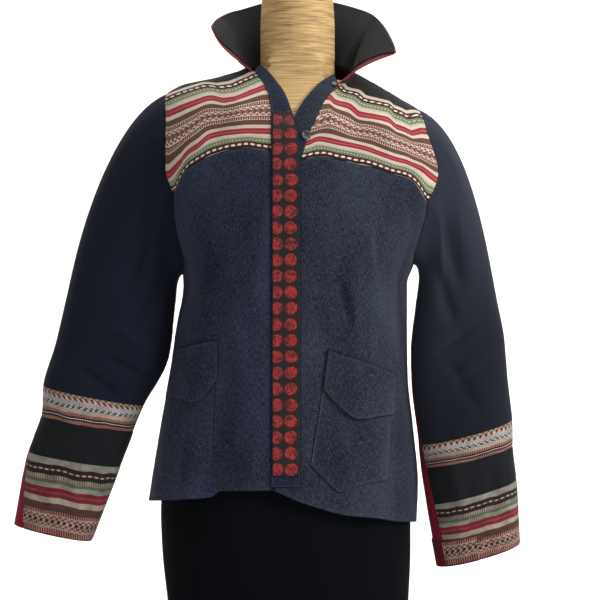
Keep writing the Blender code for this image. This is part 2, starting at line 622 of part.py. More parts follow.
def build_back_yoke():
    """Striped back yoke: right ridge, back neck and left ridge along its top, one piece."""
    across = np.linspace(0, 1, BACK_COLUMNS + 1)
    right = armhole_top(SIDES["right"])
    left = armhole_top(SIDES["left"])
    up = ridge_rows()
    start = wrapped(angle_edge(right[:1], -1.0))[0]
    end = angle_edge(left[:1], -1.0)[0]
    seam = back_seam(across, start, end)
    seen = body_point(seam[:, 0], seam[:, 1], JACKET_ROWS)
    bottom = np.stack([seen[:, 0], seam[:, 1]], axis=-1)
    right_ridge = ridge(SIDES["right"], RIDGE_COLUMNS + 1)[::-1]
    left_ridge = ridge(SIDES["left"], RIDGE_COLUMNS + 1)
    neck = back_neck(BACK_COLUMNS - 2 * RIDGE_COLUMNS)
    top = np.concatenate([right_ridge, neck[1:-1], left_ridge])
    add_cloth("back_yoke", view_grid(bottom, top, right, left, across, up, -1.0), STRIPED)


def back_neck(count):
    """Back neck edge in the back view, from the right ridge to the left: it rises on half a sine."""
    right = ridge(SIDES["right"], 2)[0]
    left = ridge(SIDES["left"], 2)[0]
    share = np.linspace(0, 1, count + 1)
    ends = right[None] + (left - right)[None] * share[:, None]
    ends[:, 1] += (BACK_NECK_DROP - ends[:, 1]) * np.sin(math.pi * share) ** BACK_NECK_POWER
    return ends


def strip_grid(outer, inner, columns, rows):
    """Grid between two long edges given in the front view, from the foot up."""
    share = np.linspace(0, 1, rows + 1)
    start = along(outer, shares=share)
    end = along(inner, shares=share)
    across = np.linspace(0, 1, columns + 1)[None, :, None]
    seen = start[:, None] + (end - start)[:, None] * across
    return np.stack([front_angle(seen[..., 0], seen[..., 1]), seen[..., 1]], axis=-1)


def build_front_edge():
    """Denim placket on the right front, its applied dotted strip, and the button stand of the left."""
    outer = ((PLACKET_OUTER_X, PLACKET_FOOT), (PLACKET_OUTER_X, PLACKET_MIDDLE), *RIGHT_BAND_OUTER)
    inner = ((PLACKET_INNER_X, PLACKET_FOOT), (PLACKET_INNER_X, PLACKET_MIDDLE), *RIGHT_BAND_INNER)
    first = LAYER_GAP
    placket = strip_grid(outer, inner, STRIP_COLUMNS, PLACKET_ROWS)
    add_cloth("placket_right", placket, DENIM_RIGHT, first, first + WALL)
    second = first + WALL + LAYER_GAP
    dotted = strip_grid(STRIP_OUTER, STRIP_INNER, STRIP_COLUMNS, DOTTED_ROWS)
    add_cloth("dot_strip", dotted, STRIP_BLACK, second, second + THIN_WALL)
    rows = ridge_rows()[: LEFT_BAND_STEPS + 1]
    start = along(LEFT_BAND_OUTER, shares=rows / rows[-1])
    end = along(LEFT_BAND_INNER, shares=rows / rows[-1])
    share = np.linspace(0, 1, STAND_COLUMNS + 1)[None, :, None]
    seen = start[:, None] + (end - start)[:, None] * share
    stand = np.stack([front_angle(seen[..., 0], seen[..., 1]), seen[..., 1]], axis=-1)
    add_cloth("button_stand_left", stand, DENIM_LEFT)


def pocket_grid(top, foot, columns, rows):
    """Grid between a pocket's or flap's top edge and its pointed foot."""
    across = np.linspace(0, 1, columns + 1)
    upper = along(top, shares=across)
    lower = along(foot, shares=across)
    up = np.linspace(0, 1, rows + 1)[:, None, None]
    seen = lower[None] + (upper - lower)[None] * up
    return np.stack([front_angle(seen[..., 0], seen[..., 1]), seen[..., 1]], axis=-1)


def build_pocket(name, pocket_top, pocket_foot, flap_top, flap_foot, colour):
    """Patch pocket, and its pointed flap lying on it."""
    first = LAYER_GAP
    grid = pocket_grid(pocket_top, pocket_foot, POCKET_COLUMNS, POCKET_ROWS)
    add_cloth(f"pocket_{name}", grid, colour, first, first + THIN_WALL)
    grid = pocket_grid(flap_top, flap_foot, POCKET_COLUMNS, FLAP_ROWS)
    second = first + THIN_WALL + LAYER_GAP
    add_cloth(f"flap_{name}", grid, colour, second, second + THIN_WALL)


def neckline():
    """Neck edge of yokes and back yoke as points, from the right front round the back to the left."""
    right_ridge = ridge(SIDES["right"], 2)[0]
    left_ridge = ridge(SIDES["left"], 2)[0]
    right = angle_edge(along((RIGHT_BAND_OUTER[-1], right_ridge), NECK_EDGE_POINTS))
    back = wrapped(angle_edge(back_neck(BACK_COLUMNS - 2 * RIDGE_COLUMNS), -1.0))
    left = angle_edge(along((left_ridge, LEFT_BAND_OUTER[-1]), NECK_EDGE_POINTS))
    plane = np.concatenate([right, back, left])
    return cloth_point(plane[:, 0], plane[:, 1])


def around_neck(turn, radius, height):
    """Point at a turn round the collar's centre, 0 at the back, with a radius and a height."""
    turn = np.radians(turn)
    x = COLLAR_CENTRE[0] + radius * np.sin(turn)
    y = COLLAR_CENTRE[1] + radius * np.cos(turn)
    return np.stack([x, y, height], axis=-1)


def collar_grid():
    """Collar's outer face: from the neckline to the rim, bowed outwards, with its normals."""
    turns = column(COLLAR_ROWS, COLLAR_COLUMNS, "turn")
    at = np.linspace(turns[0], turns[-1], COLLAR_STEPS_ROUND + 1)
    edge = neckline() - np.array([*COLLAR_CENTRE, 0])
    edge_turn = np.degrees(np.arctan2(edge[:, 0], edge[:, 1]))
    order = np.argsort(edge_turn)
    radius = np.interp(at, edge_turn[order], np.hypot(edge[order, 0], edge[order, 1])) - COLLAR_INSET
    seam = around_neck(at, radius, np.interp(at, edge_turn[order], edge[order, 2]) + COLLAR_LIFT)
    rim_turn, rim_radius, rim_z = (smooth(at, turns, column(COLLAR_ROWS, COLLAR_COLUMNS, name))
                                   for name in COLLAR_COLUMNS[1:])
    rim = around_neck(rim_turn, rim_radius, rim_z)
    up = np.linspace(0, 1, COLLAR_STEPS_UP + 1)[:, None, None]
    grid = seam[None] + (rim - seam)[None] * up
    normal = unit(np.cross(np.gradient(grid, axis=1), np.gradient(grid, axis=0)))
    away = (grid - np.array([*COLLAR_CENTRE, 0])) * np.array([1, 1, 0])
    normal = normal * np.sign((normal * away).sum(axis=-1).mean())
    bow = COLLAR_FLARE * np.sin(math.pi * up)
    return grid - normal * bow, normal


def build_collar():
    """Stand collar of two cloths: the patterned one outside, the black one inside."""
    grid, normal = collar_grid()
    add_wall("collar_outer", pull_in(grid - normal * THIN_WALL, SEAM_GAP / 2, "btse"),
             pull_in(grid, SEAM_GAP / 2, "btse"), DARK_RED)
    lining = THIN_WALL + SEAM_GAP
    add_wall("collar_inner", pull_in(grid - normal * (lining + THIN_WALL), SEAM_GAP / 2, "btse"),
             pull_in(grid - normal * lining, SEAM_GAP / 2, "btse"), BLACK_CLOTH)


def armhole_loop(side):
    """Armhole's (angle, height) points: down the front from the tip to the armpit, and up the back."""
    top = armhole_top(side)[::-1]
    low = low_armhole(side)[::-1]
    front = np.concatenate([angle_edge(top), low[1:]])
    back = np.concatenate([behind(low)[::-1][1:], angle_edge(top[::-1], -1.0)[1:]])
    return np.concatenate([front, back[:-1]])


def ring_shape(ring, turns, out):
    """Tilted superellipse ring: centre + half width * cos along the tilted side axis + depth * sin ahead."""
    tilt = np.radians(ring["tilt"])[..., None]
    zero = 0 * tilt
    side_axis = np.stack([out * np.cos(tilt), zero, np.sin(tilt)], axis=-1)
    front_axis = np.stack([zero, zero - 1, -ring["drop"][..., None]], axis=-1)
    across = np.cos(turns)
    ahead = np.sin(turns)
    spread = (np.abs(across) ** SLEEVE_POWER + np.abs(ahead) ** SLEEVE_POWER) ** (1 / SLEEVE_POWER)
    centre = np.stack([ring["x"], ring["y"], ring["z"]], axis=-1)[..., None, :]
    wide = (ring["half_width"][..., None] * across / spread)[..., None] * side_axis
    deep = (ring["half_depth"][..., None] * ahead / spread)[..., None] * front_axis
    return centre + wide + deep


def sleeve_rings(side, shares):
    """Ring sizes at shares of the table's run, as a dictionary of arrays."""
    places = np.arange(len(side["rings"]))
    return {name: smooth(shares, places, column(side["rings"], RING_COLUMNS, name)) for name in RING_COLUMNS}


def sleeve_turns(side, down, count, armpit):
    """Turn of each column at each ring: even between the two seams, which swing from armhole to cuff."""
    (first_top, first_cuff), (second_top, second_cuff) = side["seams"]
    first = first_top + (first_cuff - first_top) * down
    second = second_top + (second_cuff - second_top) * down
    back = armpit + LOW_STEPS
    under = np.arange(armpit, back + 1)
    over = np.arange(back, armpit + count + 1)
    under_share = (under - armpit) / (back - armpit)
    over_share = (over - back) / (armpit + count - back)
    under_turn = first[:, None] + (second - first)[:, None] * under_share
    over_turn = second[:, None] + (first + 360 - second)[:, None] * over_share
    return np.radians(np.concatenate([under_turn, over_turn[:, 1:]], axis=1)), back - armpit


def sleeve_surface(side):
    """Whole sleeve's outer face: Hermite cap from the armhole to the first ring, then the rings."""
    loop = armhole_loop(side)
    count = len(loop)
    armpit = YOKE_STEPS + LOW_STEPS
    order = (np.arange(count + 1) + armpit) % count
    edge = cloth_point(loop[:, 0], loop[:, 1])
    normal = body_normal(loop[:, 0], loop[:, 1], JACKET_ROWS)
    run = unit(np.roll(edge, -1, axis=0) - np.roll(edge, 1, axis=0))
    away = unit(np.cross(normal, run))
    middle = edge.mean(axis=0)
    away = away * np.sign((away * (middle - edge)).sum(axis=-1, keepdims=True))
    edge = edge + away * SEAM_GAP
    last = len(side["rings"]) - 1
    shares = np.concatenate([np.linspace(0, side["band"], RING_STEPS + 1),
                             side["band"] + np.linspace(0, 1, BAND_STEPS + 1)[1:],
                             side["band"] + 1 + np.linspace(0, 1, BAND_STEPS + 1)[1:],
                             side["band"] + 2 + np.linspace(0, 1, CUFF_STEPS + 1)[1:]])
    turns, corner = sleeve_turns(side, shares / last, count, armpit)
    lower = ring_shape(sleeve_rings(side, shares), turns, side["out"])
    start = edge[order]
    goal = lower[0]
    reach = np.linalg.norm(goal - start, axis=-1, keepdims=True)
    leave = unit(np.array([side["out"], 0.0, CAP_DROP]) + CAP_SWEEP * (away * np.array([1, 1, 0]))[order])
    arrive = unit(lower[1] - lower[0])
    t = np.linspace(0, 1, CAP_STEPS + 1)[:-1, None, None]
    pull = reach * CAP_PULL
    cap = ((1 + 2 * t) * (1 - t) ** 2 * start + t * (1 - t) ** 2 * pull * leave
           + t * t * (3 - 2 * t) * goal + t * t * (t - 1) * pull * arrive)
    grid = np.concatenate([cap, lower])
    return grid, normal[order], corner


def sleeve_normals(grid, seam_normal):
    """Normals of the closed sleeve grid, turned to the body's own normal along the shoulder seam."""
    closed = np.concatenate([grid[:, -2:-1], grid, grid[:, 1:2]], axis=1)
    run = (closed[:, 2:] - closed[:, :-2])
    rise = np.gradient(grid, axis=0)
    normal = unit(np.cross(rise, run))
    centre = grid.mean(axis=1, keepdims=True)
    normal = normal * np.sign(((grid - centre) * normal).sum(axis=-1).mean())
    agree = (normal[0] * seam_normal).sum(axis=-1, keepdims=True)
    share = ease(agree, 0.0, SEAM_AGREES)
    normal[0] = unit(normal[0] * (1 - share) + seam_normal * share)
    return normal


def build_sleeve(name):
    """Two-piece sleeve: plain top, patterned band, dark band, striped cuff, and the under-sleeve."""
    side = SIDES[name]
    grid, seam_normal, corner = sleeve_surface(side)
    normal = sleeve_normals(grid, seam_normal)
    inside = grid - normal * WALL
    first_ring = CAP_STEPS
    band = first_ring + RING_STEPS
    dark = band + BAND_STEPS
    cuff = dark + BAND_STEPS
    foot = cuff + CUFF_STEPS
    pieces = (
        (f"under_sleeve_{name}", 0, foot, 0, corner, BURGUNDY),
        (f"sleeve_{name}", 0, band, corner, grid.shape[1] - 1, NAVY),
        (f"sleeve_band_{name}", band, dark, corner, grid.shape[1] - 1, STRIPED),
        (f"sleeve_dark_band_{name}", dark, cuff, corner, grid.shape[1] - 1, BLACK_CLOTH),
        (f"cuff_{name}", cuff, foot, corner, grid.shape[1] - 1, STRIPED),
    )
    for piece, top, bottom, left, right, colour in pieces:
        rows = slice(top, bottom + 1)
        cols = slice(left, right + 1)
        edges = "tse" if top == 0 else "btse"
        add_wall(piece, pull_in(inside[rows, cols], SEAM_GAP / 2, edges),
                 pull_in(grid[rows, cols], SEAM_GAP / 2, edges), colour)


def build_turned_cuff():
    """Corner of the left cuff turned back up over itself."""
    side = SIDES["left"]
    last = len(side["rings"]) - 1
    shares = np.linspace(last - 1 + TURNED_CUFF["start"], last, TURNED_CUFF["rows"] + 1)
    turns = np.radians(np.linspace(TURNED_CUFF["first"], TURNED_CUFF["last"], TURNED_CUFF["columns"] + 1))
    turns = turns[None] + 0 * shares[:, None]
    rings = sleeve_rings(side, shares)
    grids = []
    for lift in (TURNED_CUFF["lift"], TURNED_CUFF["lift"] + THIN_WALL):
        larger = dict(rings)
        larger["half_width"] = rings["half_width"] + lift
        larger["half_depth"] = rings["half_depth"] + lift
        grids.append(ring_shape(larger, turns, side["out"]))
    add_wall("cuff_turn_up_left", grids[0], grids[1], BURGUNDY)


def form_point(angle, height):
    """Form: its own table below, and the jacket's shoulders moved in by the cloth and a seat gap above."""
    own = body_point(angle, height, FORM_ROWS)
    normal = body_normal(angle, height, JACKET_ROWS)
    seat = body_point(angle, height, JACKET_ROWS) - normal * (WALL + SEAT_GAP)
    share = ease(height, *SHOULDER_BLEND)[..., None]
    return own * (1 - share) + seat * share


def neck_ring(height, angle):
    """Round neck section at one height."""
    radius = smooth(height, column(NECK_ROWS, NECK_COLUMNS, "height"), column(NECK_ROWS, NECK_COLUMNS, "radius"))
    x = NECK_CENTRE[0] + radius * np.sin(angle)
    y = NECK_CENTRE[1] - radius * np.cos(angle)
    return np.stack([x, y, height + 0 * x], axis=-1)


def build_form():
    """Dark body of the form with a flat foot, and its straw-wound chest, shoulders and neck."""
    angle = np.linspace(0, 2 * math.pi, FORM_SIDES, endpoint=False)
    heights = np.array([*FORM_HEIGHTS, FORM_SPLIT_HEIGHT - SEAM_GAP])
    body = np.stack([form_point(angle, np.full(FORM_SIDES, h)) for h in heights])
    add_stack("form_body", body, FORM_BLACK)
    shoulders = np.array([FORM_SPLIT_HEIGHT, *SHOULDER_HEIGHTS])
    chest = [form_point(angle, np.full(FORM_SIDES, h)) for h in shoulders]
    necks = np.array(column(NECK_ROWS, NECK_COLUMNS, "height")[1:])
    neck = [neck_ring(np.full(FORM_SIDES, h), angle) for h in necks]
    add_stack("form_neck", np.stack(chest + neck), STRAW)


def build_button(name, place, radius, thickness, level, colour):
    """Round fastener as a turned profile: a low dome with a rounded rim, standing off the cloth."""
    angle = front_angle(np.array([place[0]]), np.array([place[1]]))
    height = np.array([place[1]])
    foot = cloth_point(angle, height, np.array([level]))[0]
    axis = body_normal(angle, height, JACKET_ROWS)[0]
    side_axis = unit(np.cross(np.array([0, 0, 1.0]), axis))
    up_axis = np.cross(axis, side_axis)
    turns = np.linspace(0, 2 * math.pi, FASTENER_SIDES, endpoint=False)
    rings = []
    for wide, tall in FASTENER_PROFILE:
        ring = (foot + axis * thickness * tall
                + radius * wide * (np.cos(turns)[:, None] * side_axis + np.sin(turns)[:, None] * up_axis))
        rings.append(ring)
    add_stack(name, np.array(rings), colour)


def build():
    """Clear the scene and make every piece."""
    for item in list(bpy.data.objects):
        bpy.data.objects.remove(item, do_unlink=True)
    build_form()
    build_front("right", DENIM_RIGHT)
    build_front("left", DENIM_LEFT)
    build_yoke("right")
    build_yoke("left")
    build_back()
    build_back_yoke()
    build_front_edge()
    build_pocket("right", RIGHT_POCKET_TOP, RIGHT_POCKET_FOOT, RIGHT_FLAP_TOP, RIGHT_FLAP_FOOT, DENIM_RIGHT)
    build_pocket("left", LEFT_POCKET_TOP, LEFT_POCKET_FOOT, LEFT_FLAP_TOP, LEFT_FLAP_FOOT, DENIM_LEFT)
    build_collar()
    build_sleeve("right")
    build_sleeve("left")
    build_turned_cuff()
    build_button("button", BUTTON_PLACE, BUTTON_RADIUS, BUTTON_THICKNESS, LAYER_GAP, SMOKE)
    build_button("snap", SNAP_PLACE, SNAP_RADIUS, SNAP_THICKNESS, LAYER_GAP, SMOKE)


build()
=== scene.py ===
import json
import math

import bpy
import numpy as np
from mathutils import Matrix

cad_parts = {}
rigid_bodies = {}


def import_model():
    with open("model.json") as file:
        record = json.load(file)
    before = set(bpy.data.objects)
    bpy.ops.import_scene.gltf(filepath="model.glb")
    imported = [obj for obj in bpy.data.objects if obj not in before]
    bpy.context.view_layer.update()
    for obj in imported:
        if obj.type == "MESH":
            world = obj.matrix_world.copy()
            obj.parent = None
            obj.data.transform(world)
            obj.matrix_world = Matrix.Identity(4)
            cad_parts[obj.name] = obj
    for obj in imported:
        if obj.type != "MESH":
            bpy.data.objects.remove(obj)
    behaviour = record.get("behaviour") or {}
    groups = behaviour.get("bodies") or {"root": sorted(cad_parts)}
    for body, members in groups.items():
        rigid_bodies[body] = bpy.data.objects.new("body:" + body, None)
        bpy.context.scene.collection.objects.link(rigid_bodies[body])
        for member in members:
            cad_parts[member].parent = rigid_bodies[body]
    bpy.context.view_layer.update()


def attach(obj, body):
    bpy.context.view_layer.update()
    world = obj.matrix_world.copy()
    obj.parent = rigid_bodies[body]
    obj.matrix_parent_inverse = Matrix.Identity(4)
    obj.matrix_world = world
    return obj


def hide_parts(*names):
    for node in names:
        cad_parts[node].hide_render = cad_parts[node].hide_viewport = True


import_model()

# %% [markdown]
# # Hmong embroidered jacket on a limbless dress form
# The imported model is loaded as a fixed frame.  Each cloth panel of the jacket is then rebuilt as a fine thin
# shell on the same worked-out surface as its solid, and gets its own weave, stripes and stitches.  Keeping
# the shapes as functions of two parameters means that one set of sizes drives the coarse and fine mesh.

# %% [markdown]
# ## The jacket's sizes
# A pattern maker starts from a table of girths.  Here each row is a level of the body with its half widths to
# the right and left of the centre front, its depths in front and behind, and how square the section is.
# The edges that a maker chalks, such as the yoke seam or the hem, are short lists of (x, height) in the
# front view.  All sizes are in metres.

# %% Tables of the jacket and its form
# Cloth and seams
WALL = 0.002
SEAM_GAP = 0.0003
LAYER_GAP = 0.0008
UNDERLAP = 0.004
CENTRE_FRONT_X = -0.006
NORMAL_STEP = 1e-4
CURVE_SAMPLES = 200

# Jacket sections: half widths are measured from the centre front line
SECTION_COLUMNS = ("height", "right_width", "left_width", "front_depth", "back_depth", "power")
JACKET_ROWS = (
    (0.13, 0.208, 0.19, 0.14, 0.126, 2.25), (0.2, 0.198, 0.193, 0.136, 0.122, 2.25),
    (0.28, 0.185, 0.186, 0.131, 0.116, 2.25), (0.36, 0.171, 0.178, 0.127, 0.11, 2.2),
    (0.43, 0.161, 0.177, 0.125, 0.106, 2.2), (0.49, 0.151, 0.177, 0.126, 0.107, 2.2),
    (0.52, 0.155, 0.187, 0.128, 0.11, 2.2), (0.56, 0.169, 0.207, 0.131, 0.113, 2.2),
    (0.61, 0.184, 0.23, 0.131, 0.116, 2.2), (0.65, 0.194, 0.242, 0.127, 0.116, 2.15),
    (0.7, 0.197, 0.231, 0.114, 0.11, 2.1), (0.74, 0.192, 0.203, 0.094, 0.096, 2.1),
    (0.765, 0.181, 0.164, 0.077, 0.081, 2.05), (0.782, 0.156, 0.136, 0.062, 0.071, 2.0),
    (0.795, 0.099, 0.113, 0.054, 0.066, 2.0), (0.81, 0.059, 0.087, 0.053, 0.067, 2.0),
    (0.832, 0.055, 0.083, 0.053, 0.068, 2.0),
)

# Dress form below the shoulders, same columns
FORM_ROWS = (
    (0.0, 0.17, 0.177, 0.108, 0.106, 2.2), (0.03, 0.174, 0.179, 0.112, 0.109, 2.2),
    (0.105, 0.182, 0.182, 0.118, 0.112, 2.2), (0.16, 0.184, 0.182, 0.12, 0.112, 2.2),
    (0.28, 0.16, 0.16, 0.112, 0.1, 2.2), (0.4, 0.132, 0.138, 0.1, 0.088, 2.2),
    (0.5, 0.138, 0.152, 0.112, 0.096, 2.2), (0.6, 0.154, 0.168, 0.122, 0.108, 2.2),
    (0.68, 0.17, 0.18, 0.112, 0.106, 2.15), (0.76, 0.172, 0.15, 0.074, 0.078, 2.05),
)
SEAT_GAP = 0.0026
SHOULDER_BLEND = (0.69, 0.75)
FORM_SPLIT_HEIGHT = 0.69
NECK_COLUMNS = ("height", "radius")
NECK_ROWS = (
    (0.8, 0.052), (0.812, 0.053), (0.822, 0.0545), (0.86, 0.0545), (0.91, 0.052), (0.93, 0.049),
    (0.938, 0.04), (0.941, 0.024),
)
NECK_CENTRE = (0.0104, 0.0)

# Edges of the body pieces in the front view, (x, height), from hem or centre outwards
PLACKET_OUTER_X = -0.027
PLACKET_INNER_X = 0.0154
PLACKET_FOOT = 0.204
PLACKET_MIDDLE = 0.45
RIGHT_HEM = ((-0.023, 0.1996), (-0.06, 0.199), (-0.102, 0.1975), (-0.113, 0.189), (-0.15, 0.184))
LEFT_HEM = ((-0.022, 0.199), (0.015, 0.183), (0.043, 0.174), (0.075, 0.1645), (0.12, 0.1585),
            (0.16, 0.15))
RIGHT_SIDE_HEM = 0.1735
LEFT_SIDE_HEM = 0.143
BACK_HEM = ((-0.13, 0.166), (0.0, 0.158), (0.13, 0.15))
RIGHT_YOKE_SEAM = ((-0.023, 0.6785), (-0.041, 0.681), (-0.0627, 0.684), (-0.0868, 0.681),
                   (-0.111, 0.674), (-0.1329, 0.664), (-0.15, 0.652), (-0.1674, 0.6206))
LEFT_YOKE_SEAM = ((-0.022, 0.655), (0.0154, 0.6657), (0.0437, 0.671), (0.072, 0.666), (0.0935, 0.661),
                  (0.1162, 0.657), (0.145, 0.6475), (0.172, 0.64), (0.197, 0.609))
BACK_YOKE_SEAM = ((-0.1674, 0.6206), (-0.09, 0.626), (0.006, 0.628), (0.11, 0.62), (0.197, 0.609))
RIGHT_ARMHOLE_TOP = ((-0.1674, 0.6206), (-0.176, 0.639), (-0.1804, 0.658), (-0.1804, 0.6926),
                     (-0.181, 0.735), (-0.183, 0.762))
LEFT_ARMHOLE_TOP = ((0.197, 0.609), (0.205, 0.622), (0.214, 0.652), (0.209, 0.678), (0.1996, 0.705),
                    (0.193, 0.732))
# Armhole below the yoke: turn round the body in degrees from centre front, and height
RIGHT_ARMHOLE_LOW = ((-90.0, 0.505), (-80.0, 0.508), (-71.5, 0.517), (-68.0, 0.534), (-66.0, 0.556),
                     (-63.8, 0.578), (-60.6, 0.6))
LEFT_ARMHOLE_LOW = ((90.0, 0.52), (80.0, 0.523), (72.5, 0.531), (68.5, 0.546), (65.5, 0.566),
                    (63.0, 0.586))
RIGHT_TIP = 0.77
LEFT_TIP = 0.7475
RIGHT_NECK_POINT = 0.808
LEFT_NECK_POINT = 0.801
BACK_NECK_DROP = 0.827
BACK_NECK_POWER = 0.7
RIGHT_BAND_OUTER = ((-0.027, 0.729), (-0.03, 0.757), (-0.04, 0.783), (-0.052, 0.799))
RIGHT_BAND_INNER = ((0.0154, 0.66), (0.0125, 0.705), (0.004, 0.731), (-0.0073, 0.763),
                    (-0.0204, 0.783), (-0.0306, 0.797), (-0.043, 0.808))
LEFT_BAND_OUTER = ((0.0154, 0.6657), (0.021, 0.684), (0.0253, 0.7026), (0.035, 0.721), (0.045, 0.745),
                   (0.057, 0.763), (0.071, 0.775))
LEFT_BAND_INNER = ((0.002, 0.72), (0.011, 0.74), (0.0254, 0.762), (0.044, 0.783), (0.064, 0.796))
STRIP_OUTER = ((-0.0241, 0.221), (-0.0241, 0.72), (-0.0262, 0.75))
STRIP_INNER = ((0.0126, 0.221), (0.0126, 0.66), (0.01, 0.702), (0.001, 0.73), (-0.008, 0.75))

# Pockets and flaps in the front view: top edge and bottom edge, from the centre front side outwards
LEFT_FLAP_TOP = ((0.0535, 0.3988), (0.089, 0.386), (0.1205, 0.375), (0.1527, 0.3605))
LEFT_FLAP_FOOT = ((0.0465, 0.342), (0.0677, 0.318), (0.096, 0.2985), (0.1205, 0.301), (0.1486, 0.3035))
LEFT_POCKET_TOP = ((0.054, 0.388), (0.089, 0.376), (0.1205, 0.365), (0.15, 0.352))
LEFT_POCKET_FOOT = ((0.0295, 0.235), (0.0507, 0.2137), (0.0733, 0.196), (0.0903, 0.204), (0.1395, 0.2125))
RIGHT_FLAP_TOP = ((-0.102, 0.4115), (-0.125, 0.407), (-0.148, 0.401), (-0.167, 0.3945))
RIGHT_FLAP_FOOT = ((-0.103, 0.357), (-0.113, 0.339), (-0.133, 0.3205), (-0.153, 0.324), (-0.177, 0.326))
RIGHT_POCKET_TOP = ((-0.104, 0.4), (-0.126, 0.396), (-0.148, 0.39), (-0.166, 0.384))
RIGHT_POCKET_FOOT = ((-0.112, 0.236), (-0.13, 0.218), (-0.148, 0.204), (-0.166, 0.21),
                     (-0.192, 0.216))

# Hanging folds: a trough (negative) or ridge (positive) along a line, on the front (+1) or the back (-1)
FOLD_EASE_IN = (0.0, 0.9)
FOLD_FACING = (0.0, 0.35)
# Face, top x and height, low x and height, half width, height of the fold
FOLD_ROWS = (
    (1, -0.08, 0.63, -0.108, 0.13, 0.02, -0.006), (1, -0.05, 0.56, -0.07, 0.13, 0.026, 0.0035),
    (1, -0.125, 0.56, -0.145, 0.13, 0.02, 0.003), (1, 0.07, 0.6, 0.048, 0.13, 0.024, -0.003),
    (1, 0.105, 0.56, 0.115, 0.13, 0.026, 0.0035), (1, 0.142, 0.58, 0.156, 0.13, 0.018, -0.0035),
    (-1, -0.115, 0.6, -0.14, 0.13, 0.022, -0.0045), (-1, -0.05, 0.56, -0.06, 0.13, 0.028, 0.004),
    (-1, 0.02, 0.56, 0.015, 0.13, 0.026, -0.004), (-1, 0.085, 0.6, 0.1, 0.13, 0.026, 0.004),
    (-1, 0.14, 0.56, 0.155, 0.13, 0.02, -0.0035),
)

# Collar rim by turn round the neck, 0 at the back and negative on the wearer's right
COLLAR_COLUMNS = ("turn", "rim_turn", "rim_radius", "rim_z")
COLLAR_ROWS = (
    (-118.0, -113.5, 0.14, 0.868), (-90.0, -91.0, 0.123, 0.875), (-60.0, -61.0, 0.11, 0.888),
    (-30.0, -30.0, 0.097, 0.905), (0.0, 0.0, 0.09, 0.913), (30.0, 30.0, 0.097, 0.905),
    (60.0, 60.0, 0.111, 0.888), (90.0, 88.0, 0.124, 0.864), (117.0, 110.5, 0.146, 0.824),
)
COLLAR_CENTRE = (0.0145, 0.0)
COLLAR_INSET = 0.0004
COLLAR_FLARE = 0.006
NECK_EDGE_POINTS = 6

# Sleeve rings from just below the armhole to the cuff: centre, half width, half depth, tilt, front drop
RING_COLUMNS = ("x", "y", "z", "half_width", "half_depth", "tilt", "drop")
RIGHT_RINGS = (
    (-0.248, -0.006, 0.468, 0.08, 0.054, 3.0, 0.0),
    (-0.261, -0.012, 0.3925, 0.0835, 0.05, 6.5, 0.02),
    (-0.2869, -0.02, 0.3293, 0.0749, 0.046, 11.0, 0.05),
    (-0.2956, -0.023, 0.289, 0.0683, 0.044, 9.5, 0.05),
    (-0.314, -0.027, 0.2376, 0.068, 0.042, 9.6, 0.05),
    (-0.3446, -0.032, 0.1312, 0.058, 0.037, 12.5, 0.05),
)
LEFT_RINGS = (
    (0.243, -0.006, 0.468, 0.059, 0.054, 2.0, 0.0),
    (0.2445, -0.012, 0.4, 0.069, 0.05, 7.0, 0.04),
    (0.247, -0.016, 0.349, 0.0705, 0.048, 10.0, 0.08),
    (0.2552, -0.02, 0.2772, 0.0706, 0.046, 14.5, 0.12),
    (0.257, -0.022, 0.2413, 0.0688, 0.045, 13.0, 0.12),
    (0.2635, -0.025, 0.1905, 0.068, 0.043, 15.0, 0.12),
    (0.2738, -0.03, 0.0996, 0.0623, 0.039, 15.0, 0.12),
)
# Two sleeve seams as turns round the ring, at the armhole and at the cuff: 0 outer, 90 front, 180 inner
RIGHT_SEAMS = ((180.0, 236.0), (250.0, 405.0))
LEFT_SEAMS = ((180.0, 138.0), (250.0, 292.0))
SLEEVE_POWER = 2.2
# Direction in which the cap leaves the armhole, its share of the sweep away from the seam, and its pull
CAP_DROP = -0.55
CAP_SWEEP = 0.45
CAP_PULL = 0.8
SEAM_AGREES = 0.8
TURNED_CUFF = {"start": 0.62, "first": 205.0, "last": 92.0}

# Fasteners
BUTTON_PLACE = (0.023, 0.701)
BUTTON_RADIUS = 0.007
BUTTON_THICKNESS = 0.0026
SNAP_PLACE = (0.063, 0.779)
SNAP_RADIUS = 0.0038
SNAP_THICKNESS = 0.0016

# %% [markdown]
# ## From tables to a surface
# A section of a worn jacket is a rounded box, which a superellipse describes with one power.  Between the
# table's rows a monotone cubic keeps the side lines smooth without bulges that nobody drew.

# %% Curves and sections
def column(rows, columns, name):
    """One named column of a table, as an array."""
    return np.array([row[columns.index(name)] for row in rows], float)


def smooth(at, places, values):
    """Monotone cubic through the table points: slopes are harmonic means, so it never overshoots."""
    places = np.asarray(places, float)
    values = np.asarray(values, float)
    slopes = np.diff(values) / np.diff(places)
    tangents = np.zeros(len(values))
    tangents[0] = slopes[0]
    tangents[-1] = slopes[-1]
    product = slopes[:-1] * slopes[1:]
    total = np.where(product > 0, slopes[:-1] + slopes[1:], 1.0)
    tangents[1:-1] = np.where(product > 0, 2 * product / total, 0.0)
    at = np.clip(at, places[0], places[-1])
    cell = np.clip(np.searchsorted(places, at, side="right") - 1, 0, len(places) - 2)
    width = places[cell + 1] - places[cell]
    t = (at - places[cell]) / width
    start = (1 + 2 * t) * (1 - t) ** 2 * values[cell] + t * (1 - t) ** 2 * width * tangents[cell]
    end = t * t * (3 - 2 * t) * values[cell + 1] + t * t * (t - 1) * width * tangents[cell + 1]
    return start + end


def ease(at, low, high):
    """0 below low, 1 above high, and a smooth S between."""
    t = np.clip((np.asarray(at, float) - low) / (high - low), 0, 1)
    return t * t * (3 - 2 * t)


